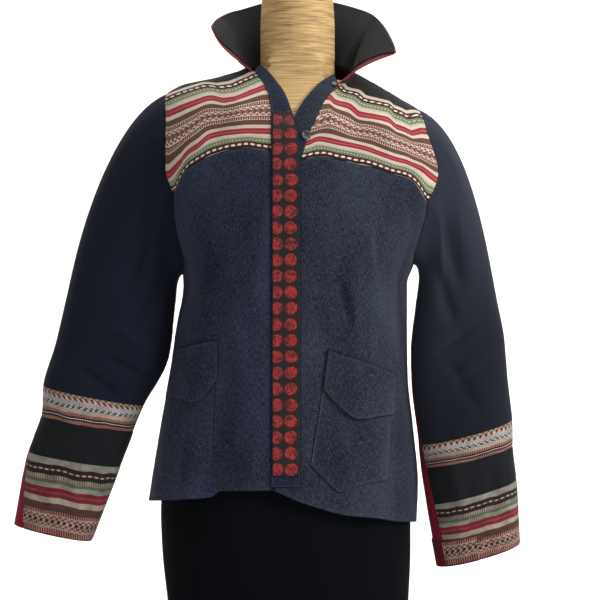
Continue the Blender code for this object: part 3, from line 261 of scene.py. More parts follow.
def section(height, rows):
    """Half widths, depths and power of a sectioned body at the given heights."""
    heights = column(rows, SECTION_COLUMNS, "height")
    return {name: smooth(height, heights, column(rows, SECTION_COLUMNS, name))
            for name in SECTION_COLUMNS[1:]}


def body_point(angle, height, rows):
    """Superellipse section: x = width * sin / n, y = -depth * cos / n, n = (|sin|^p + |cos|^p)^(1/p)."""
    size = section(height, rows)
    across = np.sin(angle)
    forward = np.cos(angle)
    width = np.where(across >= 0, size["left_width"], size["right_width"])
    depth = np.where(forward >= 0, size["front_depth"], size["back_depth"])
    power = size["power"]
    spread = (np.abs(across) ** power + np.abs(forward) ** power) ** (1 / power)
    x = CENTRE_FRONT_X + width * across / spread
    y = -depth * forward / spread
    return np.stack([x, y, height + 0 * x], axis=-1)


def unit(vectors):
    """Vectors scaled to length one."""
    return vectors / np.maximum(np.linalg.norm(vectors, axis=-1, keepdims=True), 1e-12)


def body_normal(angle, height, rows):
    """Outward normal: the step round the body crossed with the step up it."""
    around = body_point(angle + NORMAL_STEP, height, rows) - body_point(angle - NORMAL_STEP, height, rows)
    up = body_point(angle, height + NORMAL_STEP, rows) - body_point(angle, height - NORMAL_STEP, rows)
    return unit(np.cross(around, up))


def front_angle(x, height, face=1.0):
    """Angle of the jacket point seen at x in the front view (face +1) or the back view (face -1)."""
    size = section(height, JACKET_ROWS)
    reach = np.asarray(x) - CENTRE_FRONT_X
    width = np.where(reach >= 0, size["left_width"], size["right_width"])
    share = np.clip(np.abs(reach) / width, 0, 1) ** size["power"]
    turn = np.arctan2(share ** (1 / size["power"]), (1 - share) ** (1 / size["power"]))
    turn = np.where(face > 0, turn, math.pi - turn)
    return np.where(reach >= 0, turn, -turn)


def path_run(points):
    """Length run along a path at each of its points."""
    return np.concatenate([[0], np.cumsum(np.linalg.norm(np.diff(points, axis=0), axis=1))])


def along(points, count=None, shares=None):
    """Even (or given) shares of the length of a smooth curve through two or more points."""
    points = np.asarray(points, float)
    run = path_run(points)
    shares = np.linspace(0, 1, count) if shares is None else np.asarray(shares)
    return np.stack([smooth(shares * run[-1], run, points[:, i]) for i in range(points.shape[1])], axis=-1)


def at_places(places, run, values):
    """Rows of values read at places along their run, by straight shares between them."""
    return np.stack([np.interp(places, run, values[:, i]) for i in range(values.shape[1])], axis=-1)


def even(count):
    """Shares from 0 to 1 in a count of even steps."""
    return np.linspace(0, 1, count + 1)


def patch(bottom, top, start, end, across, up):
    """Coons patch: the two edge blends added, less the corners' blend."""
    u = across[None, :, None]
    v = up[:, None, None]
    rows = (1 - v) * bottom[None] + v * top[None]
    cols = (1 - u) * start[:, None] + u * end[:, None]
    corners = (1 - u) * ((1 - v) * bottom[0] + v * top[0]) + u * ((1 - v) * bottom[-1] + v * top[-1])
    return rows + cols - corners

# %% [markdown]
# ## Folds and creases
# Cloth that hangs from the shoulders falls in a few long folds, and it creases where the arm pulls at it.
# Each is a line in the front or back view with a soft bell across it: positive is a ridge, negative a trough.
# They are placed where the photograph shows them, and similar ones are put on the hidden sides.

# %% Creases of the body
FOLD_DEPTH = 1.3
CREASE_DEPTH = 1.7
# Face, top x and height, low x and height, half width, height of the crease
BODY_CREASES = (
    (1, 0.1215, 0.57, 0.126, 0.51, 0.006, -0.0026), (1, 0.112, 0.56, 0.118, 0.5, 0.007, 0.0018),
    (1, 0.07, 0.5, 0.085, 0.43, 0.006, -0.0024), (1, 0.082, 0.5, 0.096, 0.43, 0.007, 0.0018),
    (1, 0.05, 0.54, 0.056, 0.42, 0.01, 0.0012), (1, 0.143, 0.52, 0.108, 0.47, 0.008, -0.0016),
    (1, -0.135, 0.545, -0.106, 0.5, 0.009, -0.0016), (1, -0.14, 0.52, -0.115, 0.44, 0.008, 0.0014),
    (1, -0.03, 0.61, -0.046, 0.5, 0.012, 0.001), (1, -0.064, 0.48, -0.056, 0.33, 0.014, -0.0012),
    (1, -0.05, 0.29, -0.056, 0.16, 0.01, 0.0014), (1, -0.136, 0.32, -0.15, 0.18, 0.011, 0.0014),
    (1, 0.04, 0.32, 0.032, 0.17, 0.011, -0.0013), (1, 0.126, 0.3, 0.13, 0.16, 0.012, 0.0014),
    (1, -0.095, 0.735, -0.115, 0.69, 0.012, -0.0022), (1, -0.07, 0.76, -0.075, 0.715, 0.011, 0.002),
    (1, 0.09, 0.74, 0.1, 0.69, 0.012, -0.002), (1, 0.13, 0.73, 0.145, 0.67, 0.011, 0.002),
    (1, 0.06, 0.745, 0.062, 0.7, 0.01, 0.0016), (-1, -0.135, 0.56, -0.09, 0.5, 0.011, -0.0022),
    (-1, 0.165, 0.57, 0.115, 0.5, 0.011, -0.0022), (-1, -0.07, 0.47, -0.03, 0.42, 0.009, 0.0016),
    (-1, 0.06, 0.45, 0.1, 0.4, 0.009, 0.0016), (-1, -0.03, 0.33, -0.036, 0.17, 0.013, -0.0016),
    (-1, 0.06, 0.33, 0.07, 0.16, 0.013, 0.0016), (-1, -0.09, 0.76, -0.105, 0.69, 0.015, 0.0018),
    (-1, 0.1, 0.75, 0.115, 0.68, 0.015, 0.0018),
)


def line_bell(points, top_x, top_z, low_x, low_z, half_width):
    """Bell across a line in the front view, and the share of the way down that line."""
    share = (top_z - points[..., 2]) / (top_z - low_z)
    line_x = top_x + (low_x - top_x) * share
    return np.exp(-(((points[..., 0] - line_x) / half_width) ** 2)), share


def bells(points, facing, rows):
    """Sum of short creases: a bell across each line, times a bell along it that ends at its two ends."""
    total = np.zeros(points.shape[:-1])
    for face, *line, height in rows:
        across, share = line_bell(points, *line)
        lengthways = ease(share, -0.15, 0.3) * (1 - ease(share, 0.7, 1.15))
        total += height * across * lengthways * ease(face * facing, 0.0, 0.35)
    return total


def fold_height(points, angle):
    """Sum of the folds: a bell across each fold's line, eased in over its top third."""
    total = np.zeros(points.shape[:-1])
    for face, *line, height in FOLD_ROWS:
        across, share = line_bell(points, *line)
        total += height * across * ease(share, *FOLD_EASE_IN) * ease(face * np.cos(angle), *FOLD_FACING)
    return total


def cloth_point(angle, height, out=0.0):
    """Jacket's outer face with its folds and creases, moved out along the plain surface's normal."""
    plain = body_point(angle, height, JACKET_ROWS)
    normal = body_normal(angle, height, JACKET_ROWS)
    relief = fold_height(plain, angle) * FOLD_DEPTH + bells(plain, np.cos(angle), BODY_CREASES) * CREASE_DEPTH
    return plain + normal * (relief + out)[..., None]


print("creases on the body:", len(FOLD_ROWS) + len(BODY_CREASES))

# %% [markdown]
# ## Panel edges
# A panel is a grid between four chalked edges.  The fine grid uses the same edges as the solids, so every
# seam meets its neighbour; only the counts of rows and columns are larger.

# %% Edges and fine grids
def angle_edge(points, face=1.0):
    """Points given in the front or back view as (x, height), turned into (angle, height)."""
    points = np.asarray(points, float)
    return np.stack([front_angle(points[..., 0], points[..., 1], face), points[..., 1]], axis=-1)


SIDES = {
    "right": {
        "hem": RIGHT_HEM, "side_hem": RIGHT_SIDE_HEM,
        "low": RIGHT_ARMHOLE_LOW, "seam": RIGHT_YOKE_SEAM, "top": RIGHT_ARMHOLE_TOP, "tip": RIGHT_TIP,
        "neck": RIGHT_NECK_POINT, "rings": RIGHT_RINGS, "seams": RIGHT_SEAMS, "band": 2, "out": -1.0,
    },
    "left": {
        "hem": LEFT_HEM, "side_hem": LEFT_SIDE_HEM,
        "low": LEFT_ARMHOLE_LOW, "seam": LEFT_YOKE_SEAM, "top": LEFT_ARMHOLE_TOP, "tip": LEFT_TIP,
        "neck": LEFT_NECK_POINT, "rings": LEFT_RINGS, "seams": LEFT_SEAMS, "band": 3, "out": 1.0,
    },
}
SEAM_STEPS = 84
LOW_STEPS = 22
YOKE_COLUMNS = 60
LEFT_LAP_COLUMNS = 6
LEFT_BAND_STEPS = 29
YOKE_STEPS = 40
BACK_COLUMNS = 90
RIDGE_COLUMNS = 25
RIDGE_CROWDING = 2.0


def side_seam(side):
    """Side seam from hem to armpit, as (angle, height)."""
    turn, armpit = side["low"][0]
    heights = np.linspace(side["side_hem"], armpit, SEAM_STEPS + 1)
    return np.stack([np.full_like(heights, math.radians(turn)), heights], axis=-1)


def low_armhole(side):
    """Armhole from the armpit up to the front yoke's corner, as (angle, height)."""
    low = np.array(side["low"])
    low[:, 0] = np.radians(low[:, 0])
    return even_on_body(np.concatenate([low, angle_edge(side["seam"][-1:])]), LOW_STEPS + 1)


def even_on_body(plane, count):
    """Points of an (angle, height) curve, evenly spaced along its length on the body."""
    dense = along(plane, CURVE_SAMPLES)
    place = body_point(dense[:, 0], dense[:, 1], JACKET_ROWS)
    run = path_run(place)
    return at_places(np.linspace(0, run[-1], count), run, dense)


def behind(edge):
    """The same heights on the back: the angle is mirrored about the side seam, at the same x."""
    seen = body_point(edge[:, 0], edge[:, 1], JACKET_ROWS)
    return np.stack([front_angle(seen[:, 0], edge[:, 1], -1.0), edge[:, 1]], axis=-1)


def armhole_top(side):
    """Yoke's armhole edge from its lower corner to the shoulder tip, rows crowded towards the ridge."""
    rows = ridge_rows()
    tip = (CENTRE_FRONT_X + side["out"] * tip_width(side), side["tip"])
    return along((*side["top"], tip), shares=rows)


def ridge_rows():
    """Row shares that crowd towards the shoulder ridge, where the surface turns over."""
    return 1 - (1 - even(YOKE_STEPS)) ** RIDGE_CROWDING


def tip_width(side):
    """Half width of the jacket at the shoulder tip."""
    size = section(np.array([side["tip"]]), JACKET_ROWS)
    return float(size["left_width" if side["out"] > 0 else "right_width"][0])


def ridge(side, count):
    """Shoulder ridge from the neck point to the tip, in the front view: the section's extreme point."""
    dense = np.linspace(side["neck"], side["tip"], CURVE_SAMPLES)
    width = section(dense, JACKET_ROWS)["left_width" if side["out"] > 0 else "right_width"]
    curve = np.stack([CENTRE_FRONT_X + side["out"] * width, dense], axis=-1)
    run = path_run(curve)
    return at_places(np.linspace(0, run[-1], count), run, curve)


def yoke_seam(side):
    """Seam between front and yoke in the front view, at the yoke's columns."""
    points = side["seam"] if side["out"] < 0 else side["seam"][1:]
    return along(points, YOKE_COLUMNS + 1)


def yoke_inner_edge(side, top):
    """Yoke's edge beside the neck band, then beside the collar up to the shoulder ridge."""
    if side["out"] < 0:
        lapped = [(x + UNDERLAP, z) for x, z in RIGHT_BAND_OUTER[:-1]]
        return along((side["seam"][0], *lapped, RIGHT_BAND_OUTER[-1], top), shares=ridge_rows())
    rows = ridge_rows()
    split = rows[LEFT_BAND_STEPS]
    band = along(LEFT_BAND_OUTER, shares=rows[: LEFT_BAND_STEPS + 1] / split)
    neck = along((LEFT_BAND_OUTER[-1], top), shares=(rows[LEFT_BAND_STEPS:] - split) / (1 - split))
    return np.concatenate([band, neck[1:]])


def wrapped(edge):
    """Angles of the wearer's right side taken past half a turn, so that the back runs without a jump."""
    edge = edge.copy()
    edge[:, 0] = np.where(edge[:, 0] < 0, edge[:, 0] + 2 * math.pi, edge[:, 0])
    return edge


def back_armhole(side):
    """Armhole on the back from the armpit up to the back yoke's corner."""
    return wrapped(behind(low_armhole(side)))


def back_seam(across, start, end):
    """Seam between back and back yoke, as (angle, height) from the right armhole to the left."""
    seam = wrapped(angle_edge(BACK_YOKE_SEAM[1:-1], -1.0))
    return along(np.concatenate([start[None], seam, end[None]]), shares=across)


def back_neck(count):
    """Back neck edge in the back view, from the right ridge to the left: it rises on half a sine."""
    right = ridge(SIDES["right"], 2)[0]
    left = ridge(SIDES["left"], 2)[0]
    share = even(count)
    ends = right[None] + (left - right)[None] * share[:, None]
    ends[:, 1] += (BACK_NECK_DROP - ends[:, 1]) * np.sin(math.pi * share) ** BACK_NECK_POWER
    return ends


def ruled(first, second, shares, between):
    """Straight lines between two curves of the front view, cut at the same shares of their lengths."""
    start, end = (along(curve, shares=shares)[:, None] for curve in (first, second))
    return start + (end - start) * between[None, :, None]


def front_plane(side):
    """Denim front: the top edge runs along the yoke seam and then down the armhole; end is the side seam."""
    seam = yoke_seam(side)
    if side["out"] > 0:
        lap = along((side["seam"][0], seam[0]), LEFT_LAP_COLUMNS + 1)
        seam = np.concatenate([lap[:-1], seam])
    top = np.concatenate([angle_edge(seam), low_armhole(side)[::-1][1:]])
    end = side_seam(side)
    up = even(SEAM_STEPS)
    across = length_shares(top)
    bottom = along(np.concatenate([angle_edge(side["hem"]), end[:1]]), shares=across)
    heights = bottom[0, 1] + (top[0, 1] - bottom[0, 1]) * up
    start = np.stack([front_angle(side["hem"][0][0], heights), heights], axis=-1)
    return patch(bottom, top, start, end, across, up)


def length_shares(edge):
    """Shares of an (angle, height) edge's length on the body, from 0 to 1."""
    place = body_point(edge[:, 0], edge[:, 1], JACKET_ROWS)
    run = np.cumsum(np.linalg.norm(np.diff(place, axis=0), axis=1))
    return np.concatenate([[0], run / run[-1]])


def yoke_plane(side):
    """Striped yoke from the front seam to the shoulder ridge, between the neck band and the armhole."""
    across = even(YOKE_COLUMNS)
    top = ridge(side, YOKE_COLUMNS + 1)
    start = yoke_inner_edge(side, tuple(top[0]))
    return angle_edge(patch(yoke_seam(side), top, start, armhole_top(side), across, ridge_rows()))


def back_plane():
    """Denim back: side seams at its ends, and armhole, yoke seam and armhole along its top."""
    right = back_armhole(SIDES["right"])
    left = back_armhole(SIDES["left"])
    seam = back_seam(even(BACK_COLUMNS), right[-1], left[-1])
    top = np.concatenate([right, seam[1:-1], left[::-1]])
    start = wrapped(side_seam(SIDES["right"]))
    end = side_seam(SIDES["left"])
    across = length_shares(top)
    bottom = along(np.concatenate([start[:1], wrapped(angle_edge(BACK_HEM, -1.0)), end[:1]]), shares=across)
    return patch(bottom, top, start, end, across, even(SEAM_STEPS))


def back_yoke_plane():
    """Striped back yoke: both shoulder ridges and the back neck along its top."""
    across = even(BACK_COLUMNS)
    right = armhole_top(SIDES["right"])
    left = armhole_top(SIDES["left"])
    seam = back_seam(across, wrapped(angle_edge(right[:1], -1.0))[0], angle_edge(left[:1], -1.0)[0])
    seen = body_point(seam[:, 0], seam[:, 1], JACKET_ROWS)
    bottom = np.stack([seen[:, 0], seam[:, 1]], axis=-1)
    neck = back_neck(BACK_COLUMNS - 2 * RIDGE_COLUMNS)
    top = np.concatenate([ridge(SIDES["right"], RIDGE_COLUMNS + 1)[::-1], neck[1:-1],
                          ridge(SIDES["left"], RIDGE_COLUMNS + 1)])
    return angle_edge(patch(bottom, top, right, left, across, ridge_rows()), -1.0)


def stand_plane(columns):
    """Button stand of the left front, from the yoke's edge to the front edge."""
    rows = ridge_rows()[: LEFT_BAND_STEPS + 1]
    return angle_edge(ruled(LEFT_BAND_OUTER, LEFT_BAND_INNER, rows / rows[-1], even(columns)))


front_planes = {name: front_plane(side) for name, side in SIDES.items()}
yoke_planes = {name: yoke_plane(side) for name, side in SIDES.items()}
print("front grid", front_planes["right"].shape, "yoke grid", yoke_planes["right"].shape)

# %% [markdown]
# ## From a grid to a sewn cloth
# A cloth panel is a thin closed shell: its face, its wrong side one cloth thickness in, and a narrow rim.
# Its UV map is in metres of cloth, so that threads and stripes follow the panel wherever it bends.
# Along a seam the cloth dips to the stitches and puckers a little, which shows it better than a line does.

# %% Shells, UV maps and seams
CLOTH = 0.0012
SEAM_DIP = 0.0007
SEAM_WIDTH = 0.0032
PUCKER = 0.0004
PUCKER_REACH = 0.01
PUCKER_PITCH = 0.019
PUCKER_BEAT = 2.7
# Reach of the edge mark, used both for rubbed wear and for a painted shadow line
WEAR_AND_SHADE_REACH = 0.0035


def lengths(grid, axis):
    """Length run along the grid's rows (axis 1) or columns (axis 0), starting from 0."""
    step = np.linalg.norm(np.diff(grid, axis=axis), axis=-1)
    pad = ((1, 0), (0, 0)) if axis == 0 else ((0, 0), (1, 0))
    return np.pad(np.cumsum(step, axis=axis), pad)


def grid_normal(grid, like):
    """Unit normal of a grid: the step along it crossed with the step up it, on the side of like."""
    normal = unit(np.cross(np.gradient(grid, axis=1), np.gradient(grid, axis=0)))
    return normal * np.sign((normal * like).sum(axis=-1).mean())


def edge_gaps(grid):
    """Distance of every point of a grid to its bottom, top, start and end edges."""
    up, out = lengths(grid, 0), lengths(grid, 1)
    return {"b": up, "t": up[-1] - up, "s": out, "e": out[:, -1:] - out}


def seam_relief(grid, sides):
    """Dip at the named sides (b, t, s, e), and puckers that fade away from them."""
    gaps = edge_gaps(grid)
    relief = np.zeros(grid.shape[:2])
    for name in sides:
        phase = 2 * math.pi * gaps["s" if name in "bt" else "b"] / PUCKER_PITCH
        wave = np.sin(phase) * np.sin(phase / PUCKER_BEAT + 1.0)
        relief += PUCKER * wave * np.exp(-gaps[name] / PUCKER_REACH)
        relief -= SEAM_DIP * np.exp(-((gaps[name] / SEAM_WIDTH) ** 2))
    return relief


def from_edge(grid, name):
    """Rows of a grid counted inwards from its bottom, top, start or end edge."""
    rows = grid if name in "bt" else grid.swapaxes(0, 1)
    return rows if name in "bs" else rows[::-1]


def pull_in(grid, distance, sides):
    """The named edge rows moved inwards, so that two panels keep a small gap at their seam."""
    moved = grid.copy()
    for name in sides:
        edge, inner = from_edge(grid, name)[:2]
        from_edge(moved, name)[0] += unit(inner - edge) * distance
    return moved


def quads(rows, cols):
    """Vertex numbers of every cell of a grid, as an array of four columns."""
    index = np.arange(rows * cols).reshape(rows, cols)
    return np.stack([index[:-1, :-1], index[:-1, 1:], index[1:, 1:], index[1:, :-1]], axis=-1).reshape(-1, 4)


def rim_loop(rows, cols):
    """Vertex numbers round a grid's border, in order."""
    index = np.arange(rows * cols).reshape(rows, cols)
    return np.concatenate([index[0, :-1], index[:-1, -1], index[-1, :0:-1], index[:0:-1, 0]])


def finish_mesh(name, points, faces, uv, material, sharp=50.0, caps=(), wear_and_edge_shade=None):
    """Mesh object from arrays: faced outwards by its signed volume, with a UV value for every vertex.

    Caps are the flat faces with more corners that close a turned piece; the last value, from 0 to 1 a vertex,
    marks a panel's edges for rubbed wear and for a painted shadow line.
    """
    corners = points[faces]
    volume = np.einsum("ij,ij->i", corners[:, 0], np.cross(corners[:, 1], corners[:, 2])).sum()
    volume += np.einsum("ij,ij->i", corners[:, 0], np.cross(corners[:, 2], corners[:, 3])).sum()
    faces = faces.tolist() + [list(cap) for cap in caps]
    if volume < 0:
        faces = [face[::-1] for face in faces]
    mesh = bpy.data.meshes.new(name)
    mesh.from_pydata(points.tolist(), [], faces)
    owners = np.zeros(len(mesh.loops), int)
    mesh.loops.foreach_get("vertex_index", owners)
    layer = mesh.uv_layers.new(name="cloth")
    layer.data.foreach_set("uv", uv[owners].astype(np.float32).ravel())
    if wear_and_edge_shade is not None:
        mesh.attributes.new("wear_and_edge_shade", "FLOAT", "POINT").data.foreach_set("value", wear_and_edge_shade.astype(np.float32))
    mesh.shade_smooth()
    mesh.set_sharp_from_angle(angle=math.radians(sharp))
    mesh.materials.append(material)
    piece = bpy.data.objects.new(name, mesh)
    bpy.context.scene.collection.objects.link(piece)
    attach(piece, "root")
    return piece


def edge_wear_and_shade(grid):
    """Edge mark for rubbed wear and a painted shadow line: from 1 at a panel's edges to 0 inside, a bell of
    the distance to the nearest edge.
    """
    gap = np.minimum.reduce(list(edge_gaps(grid).values()))
    return np.exp(-((gap / WEAR_AND_SHADE_REACH) ** 2))


def add_shell(name, face, normal, uv, material, thickness=CLOTH, edges="btse"):
    """Thin closed shell: the face, the wrong side one thickness in along the normal, and the rim."""
    rows, cols = face.shape[:2]
    outer = pull_in(face, SEAM_GAP / 2, edges)
    inner = pull_in(face - normal * thickness, SEAM_GAP / 2, edges)
    points = np.concatenate([outer.reshape(-1, 3), inner.reshape(-1, 3)])
    cells = quads(rows, cols)
    loop = rim_loop(rows, cols)
    ahead = np.roll(loop, -1)
    shift = rows * cols
    rim = np.stack([loop, loop + shift, ahead + shift, ahead], axis=-1)
    faces = np.concatenate([cells, cells[:, ::-1] + shift, rim])
    flat_uv = np.tile(uv.reshape(-1, 2), (2, 1))
    return finish_mesh(name, points, faces, flat_uv, material, wear_and_edge_shade=np.tile(edge_wear_and_shade(face).ravel(), 2))


def cloth_uv(grid):
    """UV map in metres: along the row from the start edge, and up the column from the bottom edge."""
    return np.stack([lengths(grid, 1), lengths(grid, 0)], axis=-1)


def sew(name, node, face, normal, material, uv=None, **options):
    """Adds a cloth shell in its solid's place, and keeps its face for the table of flat cuts at the end."""
    piece = add_shell(name, face, normal, cloth_uv(face) if uv is None else uv, material, **options)
    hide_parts(node)
    sewn[name] = (piece, face)
    return piece


sewn = {}

# %% [markdown]
# ## Node helpers
# Materials are built from a few small steps, each with a plain name, so that a reader can follow the graph.

# %% Node helpers
def new_group(name, inputs, outputs):
    """Node group with named inputs (name, type, value) and outputs (name, type)."""
    group = bpy.data.node_groups.new(name, "ShaderNodeTree")
    for label, kind, value in inputs:
        socket = group.interface.new_socket(label, in_out="INPUT", socket_type=kind)
        if value is not None:
            socket.default_value = value
    for label, kind in outputs:
        group.interface.new_socket(label, in_out="OUTPUT", socket_type=kind)
    return group, group.nodes.new("NodeGroupInput"), group.nodes.new("NodeGroupOutput")


def feed(socket, value):
    """Links another socket into this one, or sets its plain value."""
    if isinstance(value, bpy.types.NodeSocket):
        socket.id_data.links.new(value, socket)
    else:
        socket.default_value = value


def new_node(kind, *values):
    """Node in the tree of the first value that is a socket."""
    return next(value for value in values if isinstance(value, bpy.types.NodeSocket)).id_data.nodes.new(kind)


def calc(operation, first, second=0.0, third=0.0, clamp=False):
    """Math node on sockets or numbers."""
    node = new_node("ShaderNodeMath", first, second, third)
    node.operation = operation
    node.use_clamp = clamp
    for socket, value in zip(node.inputs, (first, second, third)):
        feed(socket, value)
    return node.outputs[0]


def plus(first, second):
    """Sum of two values."""
    return calc("ADD", first, second)


def less(first, second):
    """First value less the second."""
    return calc("SUBTRACT", first, second)


def times(first, second):
    """Product of two values."""
    return calc("MULTIPLY", first, second)


def blend(factor, first, second, kind="MIX"):
    """Colour mix of two colours or sockets."""
    node = new_node("ShaderNodeMix", factor, first, second)
    node.data_type = "RGBA"
    node.blend_type = kind
    feed(node.inputs["Factor"], factor)
    colours = [socket for socket in node.inputs if socket.type == "RGBA"]
    for socket, value in zip(colours, (first, second)):
        feed(socket, value if isinstance(value, bpy.types.NodeSocket) else (*value[:3], 1.0))
    return [socket for socket in node.outputs if socket.type == "RGBA"][0]


def scaled(vector, scale, place=(0.0, 0.0, 0.0)):
    """Mapping node that stretches a vector."""
    node = new_node("ShaderNodeMapping", vector)
    feed(node.inputs["Vector"], vector)
    node.inputs["Scale"].default_value = scale
    node.inputs["Location"].default_value = place
    return node.outputs[0]


def noise(vector, scale, detail=2.0, roughness=0.5):
    """Noise value from 0 to 1 on a vector, at one scale or at a scale for each axis."""
    if isinstance(scale, tuple):
        vector, scale = scaled(vector, (*scale, 1.0)[:3]), 1.0
    node = new_node("ShaderNodeTexNoise", vector)
    feed(node.inputs["Vector"], vector)
    for label, number in (("Scale", scale), ("Detail", detail), ("Roughness", roughness)):
        node.inputs[label].default_value = number
    return node.outputs["Fac"]


def span(value, low, high, to_low=0.0, to_high=1.0):
    """Value moved from one range to another, clamped."""
    node = new_node("ShaderNodeMapRange", value)
    feed(node.inputs["Value"], value)
    for label, number in (("From Min", low), ("From Max", high), ("To Min", to_low), ("To Max", to_high)):
        node.inputs[label].default_value = number
    return node.outputs[0]


def steps(value, stops):
    """Colour ramp with hard steps: each stop is (place from 0 to 1, colour)."""
    node = new_node("ShaderNodeValToRGB", value)
    feed(node.inputs["Fac"], value)
    bar = node.color_ramp
    bar.interpolation = "CONSTANT"
    while len(bar.elements) > 1:
        bar.elements.remove(bar.elements[-1])
    bar.elements[0].position = 0.0
    bar.elements[0].color = (*stops[0][1], 1.0)
    for place, colour in stops[1:]:
        bar.elements.new(place).color = (*colour, 1.0)
    return node.outputs["Color"]


def split(vector):
    """Across and up parts of a vector."""
    node = new_node("ShaderNodeSeparateXYZ", vector)
    feed(node.inputs[0], vector)
    return node.outputs[0], node.outputs[1]


def new_cloth(name, roughness=0.9, sheen=0.05, specular=0.12):
    """Material with a Principled shader for cloth, and its cloth UV map as a vector."""
    material = bpy.data.materials.new(name)
    material.use_nodes = True
    tree = material.node_tree
    shader = tree.nodes["Principled BSDF"]
    shader.inputs["Roughness"].default_value = roughness
    shader.inputs["Sheen Weight"].default_value = sheen
    shader.inputs["Sheen Roughness"].default_value = 0.6
    shader.inputs["Specular IOR Level"].default_value = specular
    uv = tree.nodes.new("ShaderNodeUVMap")
    uv.uv_map = "cloth"
    return material, uv.outputs[0]


def place_group(group, cloth, **values):
    """Outputs of a group node on a cloth's vector, its other inputs set by name."""
    node = new_node("ShaderNodeGroup", cloth)
    node.node_tree = group
    for label, value in {"Cloth": cloth, **values}.items():
        feed(node.inputs[label], value)
    return node.outputs


def dyed(material, colour, height, distance, strength=0.5):
    """Material with its colour linked, and a bump node from a height into its normal."""
    shader = material.node_tree.nodes["Principled BSDF"]
    feed(shader.inputs["Base Color"], colour)
    node = new_node("ShaderNodeBump", height)
    node.inputs["Distance"].default_value = distance
    node.inputs["Strength"].default_value = strength
    feed(node.inputs["Height"], height)
    feed(shader.inputs["Normal"], node.outputs[0])
    return material


# %% [markdown]
# ## Plain weave
# Every cloth here is woven: warp threads run up the panel, weft threads across.  The group gives a height
# with both sets of threads, and a mottle of long thin streaks, because real threads vary in thickness.

# %% Weave group
weave_group, weave_in, weave_out = new_group(
    "plain_weave",
    (("Cloth", "NodeSocketVector", None), ("Threads", "NodeSocketFloat", 900.0)),
    (("Height", "NodeSocketFloat"), ("Mottle", "NodeSocketFloat"), ("Speck", "NodeSocketFloat")),
)
across, up = split(weave_in.outputs["Cloth"])
turns = times(weave_in.outputs["Threads"], 2 * math.pi)
crossing = times(calc("SINE", times(across, turns)), calc("SINE", times(up, turns)))
long_streaks = noise(weave_in.outputs["Cloth"], (850.0, 130.0), 3.0)
cross_streaks = noise(weave_in.outputs["Cloth"], (150.0, 800.0), 3.0)
specks = noise(weave_in.outputs["Cloth"], (700.0, 420.0), 1.0)
mottle = plus(times(long_streaks, 0.6), times(cross_streaks, 0.4))
height = plus(times(crossing, 0.35), mottle)
for label, value in (("Height", height), ("Mottle", mottle), ("Speck", specks)):
    feed(weave_out.inputs[label], value)
print("weave group nodes:", len(weave_group.nodes))


def woven(cloth, threads):
    """Outputs of the weave group on a cloth, with its threads a metre."""
    return place_group(weave_group, cloth, Threads=threads)


# %% [markdown]
# ## Denim
# Worn indigo denim is never one blue: pale weft shows between the dark warp, slubs give small light specks,
# and washing fades broad patches.  A salt and pepper mottle of two blues gives that at the distance shown.

# %% Denim and plain cottons
def denim(name, dark, light, patch_strength):
    """Denim with streaked mottle, pale specks, broad faded patches, pale rubbed edges and a painted shadow
    line along its edges.
    """
    material, cloth = new_cloth(name, 0.93, 0.04, 0.1)
    weave = woven(cloth, 620.0)
    fade = noise(cloth, (11.0, 5.0), 4.0, 0.6)
    warp = noise(cloth, (700.0, 150.0), 3.0, 0.7)
    weft = noise(cloth, (160.0, 900.0), 2.0, 0.6)
    grain = plus(times(warp, 0.6), times(weft, 0.4))
    amount = calc("ADD", span(grain, 0.4, 0.6), times(less(fade, 0.5), patch_strength), clamp=True)
    colour = blend(amount, dark, light)
    pale = span(weave["Speck"], 0.66, 0.8, 0.0, 0.6)
    colour = blend(pale, colour, (0.2, 0.22, 0.26))
    wear_and_edge_shade = new_node("ShaderNodeAttribute", cloth)
    wear_and_edge_shade.attribute_name = "wear_and_edge_shade"
    rubbed = span(weave["Mottle"], 0.45, 0.62, 0.0, 0.22)
    colour = blend(times(wear_and_edge_shade.outputs["Fac"], rubbed), colour, (0.16, 0.18, 0.23))
    # Painted shadow: right at every panel's edge the denim turns near black, standing for the shade along
    # hems, pockets and flaps
    colour = blend(span(wear_and_edge_shade.outputs["Fac"], 0.72, 0.92, 0.0, 0.9), colour, (0.003, 0.004, 0.007))
    return dyed(material, colour, weave["Height"], 0.0006)


def cotton(name, dark, light, roughness=0.9, sheen=0.03, threads=900.0, bump=0.0003, fade_and_light=None):
    """Plain cotton: two close tones on the weave's mottle, slow clouds, and where given a blend towards a
    paler colour along its length, which on the navy sleeve is painted light.
    """
    material, cloth = new_cloth(name, roughness, sheen, 0.1)
    weave = woven(cloth, threads)
    cloud = noise(cloth, (9.0, 7.0), 3.0)
    amount = calc("ADD", times(weave["Mottle"], 0.6), times(cloud, 0.4), clamp=True)
    colour = blend(amount, dark, light)
    if fade_and_light:
        colour = blend(span(split(cloth)[1], *fade_and_light[:2], 0.85, 0.0), colour, fade_and_light[2])
    return dyed(material, colour, weave["Height"], bump)


DENIM = {
    "right": denim("denim_right", (0.004, 0.0055, 0.015), (0.032, 0.0385, 0.072), 2.0),
    "left": denim("denim_left", (0.005, 0.0065, 0.014), (0.037, 0.044, 0.068), 2.0),
    "placket": denim("denim_placket", (0.004, 0.0052, 0.016), (0.017, 0.0215, 0.044), 0.6),
}
